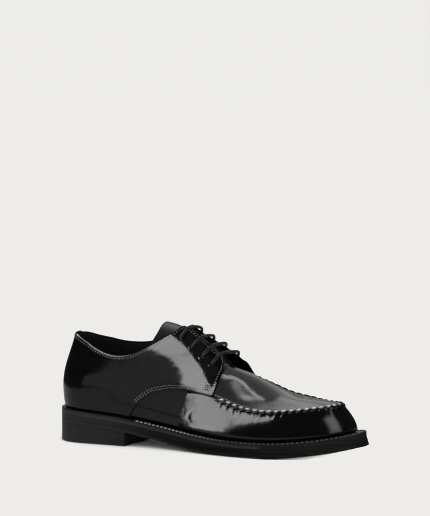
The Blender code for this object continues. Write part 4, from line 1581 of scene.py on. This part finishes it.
class SHOE_OT_insole(bpy.types.Operator):
    """Make the insole with its dished leather sock"""

    bl_idname = "shoe.insole"
    bl_label = "Insole"

    DISH, DISH_WIDTH = 1.2, 60
    SOCK_RISE = 0.5
    ACROSS = 15

    def execute(self, context):
        u = sole_sections()
        outer = feather(u, OUTER, INSOLE_SETBACK)
        inner = feather(u, INNER, INSOLE_SETBACK)
        share = np.linspace(0, 1, self.ACROSS)[:, None, None]
        top = outer * (1 - share) + inner * share
        width = np.linalg.norm(inner - outer, axis=-1)[None]
        dish = self.DISH * (1 - (2 * share[..., 0] - 1) ** 2) * smooth_step(width, 0, self.DISH_WIDTH)
        top[..., 2] = welt_top(top[..., 0]) + INSOLE_RISE + self.SOCK_RISE - dish
        sheets = Sheets()
        sheets.sheet(top)
        rim = both_sides(top[0], top[-1])
        low = rim - np.array([0, 0, INSOLE_RISE - SOLE_GAP])
        seat = WELT_REACH + 2 * SOLE_GAP
        ledge = feather_ring(u, seat, lambda x: welt_top(x) + SOLE_GAP)
        base = feather_ring(u, seat, lambda x: outsole_top(x) + SOLE_GAP)
        sheets.sheet([rim, low, ledge, base], ring=True, flip=True)
        cap(sheets, base, len(u), flip=True)
        sheets.piece("insole_sock", [sock_leather()], "insole_leather", ["insole"])
        return {"FINISHED"}


# Welt, outsole and heel

TOP_ROUND, JOINT_ROUND, TREAD_ROUND = 0.7, 0.1, 0.6
JOINT_GAP = 0.01
WELT_ROW, WELT_ROW_LIFT = 1.2, 0.15
TOE_FLARE, TOE_FLARE_SPAN = 2.4, (0.72, 0.95)
WELT_SEWN_FROM = {OUTER: 93.0, INNER: 99.0}


# Steps across a groove of a sole edge: share of its depth, share of its half width
GROOVE_STEPS = ((0, -1.6), (0.12, -1), (1, -0.3), (1, 0.3), (0.12, 1), (0, 1.6))


def round_edge(radius, start, end):
    """Return four steps round a corner, as (inset, millimetres down)."""
    turn = np.linspace(start, end, 4)
    return [(radius * (1 - math.cos(t)), radius * (1 - math.sin(t))) for t in turn]


def edge_steps(grooves, top_round, bottom_round):
    """Return the steps down a sole edge as (inset, share of the height, millimetres further down)."""
    top = [(inset, 0, drop) for inset, drop in round_edge(top_round, math.pi / 2, 0)]
    bottom = [(inset, 1, -drop) for inset, drop in round_edge(bottom_round, 0, math.pi / 2)]
    middle = []
    for share, half, depth in grooves:
        middle += [(inset * depth, share, drop * half) for inset, drop in GROOVE_STEPS]
    return top + middle + bottom


OUTSOLE_GROOVES = ((0.2, 0.16, 0.12), (0.48, 0.3, 0.35), (0.74, 0.16, 0.12))
HEEL_GROOVES = tuple(
    (share, 0.16, 0.08 if i % 2 else 0.14) for i, share in enumerate(np.linspace(0.14, 0.86, 6)))


class SHOE_OT_welt(bpy.types.Operator):
    """Make the welt with its rounded edge and its row of stitches"""

    bl_idname = "shoe.welt"
    bl_label = "Welt"

    def execute(self, context):
        u = sole_sections()

        def base(x):
            return welt_top(x) - WELT_THICK

        rings = [feather_ring(u, WELT_REACH, welt_top), feather_ring(u, 0.5, welt_top)]
        for inset, share, drop in edge_steps((), TOP_ROUND, JOINT_ROUND):
            rings.append(outline_ring(
                u, inset, lambda x: welt_top(x) + (base(x) - welt_top(x)) * share - drop))
        rings += [feather_ring(u, WELT_REACH, base), rings[0]]
        sheets = Sheets()
        sheets.sheet(rings, ring=True, flip=True)
        sheets.piece("welt_ring", [welt_leather()], "welt_leather", ["welt"], crisp=50)
        outer = outline(np.linspace(section_at(WELT_SEWN_FROM[OUTER]), 1, 500), OUTER, WELT_ROW)
        inner = outline(np.linspace(1, section_at(WELT_SEWN_FROM[INNER]), 500)[1:], INNER, WELT_ROW)
        x, y = np.concatenate([outer, inner], axis=1)
        path = np.stack([x, y, welt_top(x) + WELT_ROW_LIFT], -1)
        points, ways = resample(path, mm(sizes().welt_pitch))
        stitches = Sheets()
        thread = mm(sizes().welt_thread)
        normals = unit(np.cross(ways, np.cross([0.0, 0.0, 1.0], ways)))
        sew(stitches, points, normals, ways, (mm(sizes().welt_stitch), thread, thread))
        stitches.piece("welt_stitches", [waxed_thread("welt_thread")], "lace_cord")
        return {"FINISHED"}


class SHOE_OT_outsole(bpy.types.Operator):
    """Make the outsole with its arch, toe spring and grooved edge"""

    bl_idname = "shoe.outsole"
    bl_label = "Outsole"

    def execute(self, context):
        u = sole_sections()
        flare = TOE_FLARE * smooth_step(u, *TOE_FLARE_SPAN)
        rings = []
        for inset, share, drop in edge_steps(OUTSOLE_GROOVES, JOINT_ROUND, TREAD_ROUND):
            def heights(x):
                return outsole_top(x) + (outsole_bottom(x) - outsole_top(x)) * share - drop

            rings.append(outline_ring(u, inset - flare * share, heights))
        sheets = Sheets()
        sheets.sheet(rings, ring=True, flip=True)
        cap(sheets, rings[0], len(u), flip=False)
        cap(sheets, rings[-1], len(u), flip=True)
        sheets.piece("outsole_block", [sole_rubber()], "sole_rubber", ["outsole"], crisp=50)
        return {"FINISHED"}


class SHOE_OT_heel(bpy.types.Operator):
    """Make the heel block with its hollowed breast and the lines of its lifts"""

    bl_idname = "shoe.heel"
    bl_label = "Heel"

    def execute(self, context):
        u = np.concatenate([
            np.linspace(0, HEEL_SHARE, HEEL_SECTIONS)[:-1],
            section_at(np.linspace(HEEL_CENTRE, HEEL_BREAST, BREAST_SECTIONS))])

        def top(x):
            return outsole_bottom(x) - JOINT_GAP

        across = np.cos(np.linspace(0, np.pi, BREAST_POINTS))[1:-1]
        rings = []
        for inset, share, drop in edge_steps(HEEL_GROOVES, JOINT_ROUND, TREAD_ROUND):
            def heights(x):
                return top(x) * (1 - share) - drop

            halves = []
            for side in SIDES:
                x, y = outline(u, side, inset)
                x[-1] = HEEL_BREAST - inset
                halves.append(np.stack([x, y, heights(x)], -1))
            outer, inner = halves
            middle, half = (inner[-1, 1] + outer[-1, 1]) / 2, (inner[-1, 1] - outer[-1, 1]) / 2
            breast_x = HEEL_BREAST - inset - BREAST_HOLLOW * (1 - across ** 2)
            breast = np.stack([breast_x, middle - half * across, heights(breast_x)], -1)
            rings.append(np.concatenate([outer, breast, inner[:0:-1]]))
        sheets = Sheets()
        sheets.sheet(rings, ring=True, flip=True)
        size, count = len(rings[0]), len(u)
        strip = [(i, i + 1, size - i - 1, size - i) for i in range(1, count - 2)]
        strip.append((0, 1, size - 1))
        strip.append(tuple(range(count - 2, size - count + 3)))
        sheets.add(rings[0], strip)
        sheets.add(rings[-1], [face[::-1] for face in strip])
        sheets.piece("heel_block", [heel_rubber()], "heel_rubber", ["heel"], crisp=50)
        return {"FINISHED"}


# Stage

TARGET = (0.0, 0.0, 0.040)
TARGET_PIXEL = (210.2, 403.0)
PICTURE = (430, 516)
SENSOR = 36.0


def direction(azimuth, elevation):
    """Return the direction to a place round the shoe: azimuth 0 is the outer side, 90 degrees the toe."""
    a, e = math.radians(azimuth), math.radians(elevation)
    return Vector((math.sin(a) * math.cos(e), -math.cos(a) * math.cos(e), math.sin(e)))


def add_camera(stage):
    """Place the camera so that the middle of the shoe lands on its place in the picture."""
    data = bpy.data.cameras.new("camera")
    data.sensor_width = SENSOR
    data.lens = stage.focal
    camera = bpy.data.objects.new("camera", data)
    bpy.context.scene.collection.objects.link(camera)
    back = direction(math.degrees(stage.azimuth), math.degrees(stage.elevation))
    camera.location = Vector(TARGET) + back * stage.distance
    pixels = stage.focal / SENSOR * max(PICTURE)
    pitch = math.atan((TARGET_PIXEL[1] - PICTURE[1] / 2) / pixels)
    yaw = math.atan((TARGET_PIXEL[0] - PICTURE[0] / 2) / pixels)
    aim = (-back).to_track_quat("-Z", "Y").to_matrix()
    turn = Matrix.Rotation(yaw, 3, "Y") @ Matrix.Rotation(pitch, 3, "X")
    camera.rotation_euler = (aim @ turn).to_euler()
    bpy.context.scene.camera = camera


def add_floor(tint):
    """Add a matt floor whose own mirror image in the shoe is dark."""
    material = bpy.data.materials.new("pale_floor")
    material.use_nodes = True
    net = Net(material.node_tree)
    shader = material.node_tree.nodes["Principled BSDF"]
    net.set(shader, "Base Color", (*tint, 1))
    net.set(shader, "Roughness", 1.0)
    net.set(shader, "Specular IOR Level", 0.0)
    mirrored = net.add("ShaderNodeEmission", {"Color": (*tint, 1), "Strength": FLOOR_MIRROR})
    path = net.add("ShaderNodeLightPath")
    both = net.add("ShaderNodeMixShader", {
        0: path.outputs["Is Glossy Ray"], 1: shader.outputs["BSDF"], 2: mirrored.outputs["Emission"]})
    net.set(material.node_tree.nodes["Material Output"], "Surface", both.outputs["Shader"])
    mesh = bpy.data.meshes.new("floor")
    corners = [(x * FLOOR_HALF, y * FLOOR_HALF, 0) for x, y in ((-1, -1), (1, -1), (1, 1), (-1, 1))]
    mesh.from_pydata(corners, [], [(0, 1, 2, 3)])
    mesh.materials.append(material)
    floor = bpy.data.objects.new("floor", mesh)
    bpy.context.scene.collection.objects.link(floor)


def standing(azimuth, distance, corners):
    """Return corners of a card that stands at a distance, given sideways and up in metres."""
    away = direction(azimuth, 0)
    sideways = Vector((-away.y, away.x, 0))
    return [away * distance + sideways * x + Vector((0, 0, z)) for x, z in corners]


def level(height, corners):
    """Return corners of a card that hangs level at a height."""
    return [Vector((x, y, height)) for x, y in corners]


def add_card(name, corners, brightness, lit, soft):
    """Add a soft box, dimmer towards its edge, that only shows as a mirror image in the pieces it lights."""
    material = bpy.data.materials.new(name)
    material.use_nodes = True
    net = Net(material.node_tree)
    material.node_tree.nodes.remove(material.node_tree.nodes["Principled BSDF"])
    glow = net.add("ShaderNodeAttribute", attribute_name="glow")
    strength = net.add("ShaderNodeMath", {0: glow.outputs["Fac"], 1: brightness}, operation="MULTIPLY")
    light = net.add("ShaderNodeEmission", {"Strength": strength.outputs["Value"]})
    clear = net.add("ShaderNodeBsdfTransparent")
    both = net.add("ShaderNodeAddShader", {0: light.outputs["Emission"], 1: clear.outputs["BSDF"]})
    net.set(material.node_tree.nodes["Material Output"], "Surface", both.outputs["Shader"])
    count = len(corners)
    middle = sum(corners, Vector()) / count
    spread = (1 + soft / 2, 1 - soft / 2)
    rings = [middle + (corner - middle) * size for size in spread for corner in corners]
    faces = [(i, (i + 1) % count, count + (i + 1) % count, count + i) for i in range(count)]
    mesh = bpy.data.meshes.new(name)
    mesh.from_pydata(rings, [], faces + [tuple(range(count, 2 * count))])
    fade = mesh.attributes.new("glow", "FLOAT", "POINT")
    fade.data.foreach_set("value", [0.0] * count + [1.0] * count)
    mesh.materials.append(material)
    card = bpy.data.objects.new(name, mesh)
    bpy.context.scene.collection.objects.link(card)
    card.visible_camera = False
    card.visible_diffuse = False
    card.visible_shadow = False
    pieces = bpy.data.collections.new(name + "_lights")
    for piece in lit:
        pieces.objects.link(bpy.data.objects[piece])
    card.light_linking.receiver_collection = pieces


def add_fill(place, aim, power, size):
    """Add a soft lamp that only lightens the floor under the toe."""
    data = bpy.data.lights.new("toe_fill", "AREA")
    data.energy = power
    data.size = size
    lamp = bpy.data.objects.new("toe_fill", data)
    bpy.context.scene.collection.objects.link(lamp)
    lamp.location = place
    lamp.rotation_euler = (aim - place).to_track_quat("-Z", "Y").to_euler()
    ground = bpy.data.collections.new("toe_fill_lights")
    ground.objects.link(bpy.data.objects["floor"])
    lamp.light_linking.receiver_collection = ground


def add_room(tint):
    """Even white light for the floor, and a dim room for the shoe to mirror."""
    world = bpy.data.worlds.new("studio")
    world.use_nodes = True
    net = Net(world.node_tree)
    world.node_tree.nodes.clear()
    path = net.add("ShaderNodeLightPath")
    even = net.add("ShaderNodeBackground", {"Color": (1, 1, 1, 1), "Strength": ROOM_LIGHT})
    dim = net.add("ShaderNodeBackground", {"Color": (1, 1, 1, 1), "Strength": ROOM_MIRROR})
    seen = net.add("ShaderNodeBackground", {"Color": (*tint, 1), "Strength": 1.0})
    glossy = net.add("ShaderNodeMixShader", {
        0: path.outputs["Is Glossy Ray"], 1: even.outputs[0], 2: dim.outputs[0]})
    camera = net.add("ShaderNodeMixShader", {
        0: path.outputs["Is Camera Ray"], 1: glossy.outputs[0], 2: seen.outputs[0]})
    out = net.add("ShaderNodeOutputWorld")
    net.set(out, "Surface", camera.outputs[0])
    bpy.context.scene.world = world


def level_whites(tint):
    """Hold everything brighter than the background at the background's own tint."""
    view = bpy.context.scene.view_settings
    view.view_transform = "Standard"
    view.use_curve_mapping = True
    for curve, white in zip(view.curve_mapping.curves, tint):
        curve.points[-1].location = (1.0, white)
        curve.points.new(white, white)
        for point in curve.points:
            point.handle_type = "VECTOR"
    view.curve_mapping.update()


FLOOR_HALF, FLOOR_MIRROR = 60.0, 0.04
ROOM_LIGHT, ROOM_MIRROR = 1.5, 0.02
QUARTER_PIECES = ("quarter_outer_panel", "quarter_inner_panel", "stitches_outer", "stitches_inner", "lace")
TONGUE_PIECES = ("tongue_panel", "tongue_stitches")
WAIST_PIECES = ("vamp_back",)
WALL_PIECES = ("vamp_front", "apron_fold_outer")
TOP_PIECES = ("apron_top",)
SEAM_PIECES = ("apron_lumps_outer",)
INNER_PIECES = ("vamp_back", "vamp_front", "quarter_inner_panel", "stitches_inner")
WELT_PIECES = ("welt_ring", "welt_stitches")
SOLE_PIECES = ("heel_block", "outsole_block", "welt_ring", "welt_stitches")

# Lamp for the floor at the toe: place, aim, power, size
TOE_FILL = (Vector((0.5, 0.1, 0.08)), Vector((0.13, 0.0, 0.0)), 12.0, 0.1)

# Soft boxes: name, corners, brightness as a share of the key, pieces lit, softness of the edge
CARDS = (
    ("quarter_key", standing(-24, 0.8, (
        (-0.14, 0.45), (-0.1, 0.42), (0.04, 0.47), (0.16, 0.5), (0.55, 1.3), (0.45, 1.45), (0.27, 1.45),
        (0.12, 1.95), (-0.14, 1.95))),
     0.82, QUARTER_PIECES, 0.1),
    ("quarter_wall", standing(-24, 0.8, (
        (-0.24, -0.02), (-0.215, 0.07), (-0.18, 0.13), (-0.1, 0.16), (-0.06, 0.19), (-0.065, 0.235),
        (-0.085, 0.44), (0.2, 0.44), (0.15, -0.02))),
     0.047, QUARTER_PIECES, 0.04),
    ("rim_box", standing(180, 1.2, (
        (-0.8, 0.75), (0.8, 0.75), (0.8, 1.05), (-0.8, 1.05))),
     0.25, QUARTER_PIECES, 0.2),
    ("floor_waist", level(0.0004, (
        (-0.6, 1.2), (-0.55, 0.0), (-0.4, -0.22), (-0.335, -0.28), (-0.335, -1.5), (0.0, -1.5), (0.0, 1.2))),
     0.042, QUARTER_PIECES + WAIST_PIECES, 0.04),
    ("floor_heel", level(0.0005, (
        (-0.6, 1.2), (-0.6, -1.5), (-0.085, -1.5), (-0.085, 1.2))),
     0.039, SOLE_PIECES, 0.1),
    ("waist_wall", standing(-38, 0.9, (
        (-0.4, 0.0), (-0.4, 0.5), (0.4, 0.5), (0.4, 0.0))),
     0.042, WAIST_PIECES, 0.05),
    ("vamp_key", standing(-38, 0.45, (
        (-0.056, -0.1), (-0.044, 0.02), (-0.038, 0.11), (-0.03, 0.18), (-0.018, 0.24), (-0.012, 0.32),
        (-0.06, 0.9), (-0.06, 1.2), (0.06, 1.2), (0.1, 1.05),
        (0.13, 0.7), (0.125, 0.45), (0.108, 0.25), (0.095, 0.15), (0.06, 0.06), (0.03, -0.1))),
     0.74, WALL_PIECES, 0.16),
    ("floor_vamp", level(0.0006, (
        (-0.318, -0.337), (-0.25, -0.38), (-0.214, -0.339), (-0.12, -0.21), (-0.065, -0.13),
        (-0.06, -0.095), (-0.08, -0.104), (-0.276, -0.294))),
     0.74, WALL_PIECES, 0.06),
    ("floor_front", level(0.0007, (
        (-0.06, -0.13), (-0.03, -0.2), (0.3, -0.2), (0.3, 0.0), (-0.03, 0.0))),
     0.045, ("vamp_front",), 0.1),
    ("floor_inner", level(0.0007, (
        (-0.6, 0.04), (0.35, 0.04), (0.5, 1.2), (-0.6, 1.2))),
     0.042, ("vamp_front",), 0.1),
    ("toe_box", standing(80, 1.2, (
        (-0.25, 0.3), (0.2, 0.3), (0.3, 1.7), (-0.3, 1.7))),
     0.3, WALL_PIECES, 0.9),
    ("top_low", level(1.0, (
        (-0.25, -0.6), (0.2, -0.6), (0.2, 0.1), (-0.25, 0.1))),
     0.04, TOP_PIECES, 0.3),
    ("top_box", level(1.0, (
        (-0.3, 0.05), (0.2, 0.05), (0.42, 1.12), (-0.5, 1.1))),
     0.058, TOP_PIECES, 0.5),
    ("top_strip", level(1.02, (
        (-0.3, 0.05), (-0.08, 0.2), (-0.22, 0.95), (-0.6, 1.2))),
     0.14, TOP_PIECES, 0.7),
    ("back_box", level(1.0, (
        (-0.6, 1.0), (0.1, 1.0), (-0.2, 2.4), (-1.3, 2.4))),
     0.1, TOP_PIECES, 0.15),
    ("back_wall", standing(180, 2.3, (
        (-0.8, 0.02), (1.5, 0.02), (1.3, 1.0), (0.2, 1.0), (-0.5, 1.0))),
     0.03, TOP_PIECES, 0.1),
    ("spot_far", level(0.99, (
        (0.14, -0.06), (0.14, 0.06), (0.06, 0.14), (0.01, 0.26), (-0.03, 0.26), (-0.02, 0.11), (0.03, 0.06),
        (0.05, 0.0), (0.08, -0.09))),
     0.5, TOP_PIECES, 0.4),
    ("spot_near", level(0.98, (
        (-0.06, -0.16), (-0.03, -0.11), (-0.01, -0.03), (-0.005, 0.04), (-0.015, 0.08), (-0.04, 0.06),
        (-0.065, 0.0), (-0.08, -0.1))),
     0.62, TOP_PIECES, 0.4),
    ("seam_box", level(0.9, (
        (-0.8, -0.7), (0.8, -0.7), (0.8, 0.6), (-0.8, 0.6))),
     1.1, SEAM_PIECES, 0.4),
    ("tongue_glint", level(1.0, (
        (-0.3, 0.3), (-0.06, 0.3), (-0.04, 0.6), (-0.3, 0.6))),
     4.5, TONGUE_PIECES, 0.3),
    ("inner_key", standing(240, 0.8, (
        (-0.35, 0.1), (0.3, 0.1), (0.3, 1.0), (-0.35, 1.0))),
     0.5, INNER_PIECES, 0.3),
    ("rim_glint", level(0.7, (
        (-0.7, -0.5), (0.7, -0.5), (0.7, 0.9), (-0.7, 0.9))),
     0.5, ("quarter_outer_edge",), 0.3),
    ("facing_box", level(0.8, (
        (0.08, -0.5), (0.5, -0.5), (0.5, -0.05), (0.08, -0.05))),
     0.012, ("quarter_outer_panel",), 0.3),
    ("welt_top", level(0.7, (
        (-0.5, 0.0), (0.5, 0.0), (0.5, 0.7), (-0.5, 0.7))),
     0.05, ("welt_ring",), 0.3),
    ("welt_back", standing(206.5, 2.0, (
        (-1.2, 0.05), (1.2, 0.05), (1.2, 0.7), (-1.2, 0.7))),
     0.06, WELT_PIECES, 0.2),
)


class SHOE_OT_stage(bpy.types.Operator):
    """Make the pale floor, the soft boxes and the camera"""

    bl_idname = "shoe.stage"
    bl_label = "Stage"

    def execute(self, context):
        stage = context.scene.shoe_stage
        tint = context.scene.shoe_colours.background
        add_camera(stage)
        add_floor(tint)
        add_room(tint)
        for name, corners, share, lit, soft in CARDS:
            add_card(name, corners, stage.key * share, lit, soft)
        add_fill(*TOE_FILL)
        level_whites(tint)
        return {"FINISHED"}


OPERATORS = (
    SHOE_OT_upper, SHOE_OT_apron_seam, SHOE_OT_quarters, SHOE_OT_stitching, SHOE_OT_tongue, SHOE_OT_lace,
    SHOE_OT_insole, SHOE_OT_welt, SHOE_OT_outsole, SHOE_OT_heel, SHOE_OT_stage)


class SHOE_PT_panel(bpy.types.Panel):
    """Lists the pieces of the shoe and their settings"""

    bl_label = "Derby shoe"
    bl_idname = "SHOE_PT_panel"
    bl_space_type = "VIEW_3D"
    bl_region_type = "UI"
    bl_category = "Shoe"

    def draw(self, context):
        for group in ("shoe_sizes", "shoe_colours", "shoe_stage"):
            settings = getattr(context.scene, group)
            box = self.layout.box()
            for name in settings.bl_rna.properties.keys():
                if name not in ("rna_type", "name"):
                    box.prop(settings, name)
        for operator in OPERATORS:
            self.layout.operator(operator.bl_idname)


GROUPS = {"shoe_sizes": ShoeSizes, "shoe_colours": ShoeColours, "shoe_stage": ShoeStage}


def register():
    for item in (*GROUPS.values(), *OPERATORS, SHOE_PT_panel):
        bpy.utils.register_class(item)
    for name, group in GROUPS.items():
        setattr(bpy.types.Scene, name, PointerProperty(type=group))


def unregister():
    for name in GROUPS:
        delattr(bpy.types.Scene, name)
    for item in (SHOE_PT_panel, *reversed(OPERATORS), *reversed(list(GROUPS.values()))):
        bpy.utils.unregister_class(item)


def main():
    register()
    for operator in OPERATORS:
        family, name = operator.bl_idname.split(".")
        getattr(getattr(bpy.ops, family), name)()


if __name__ == "__main__":
    main()
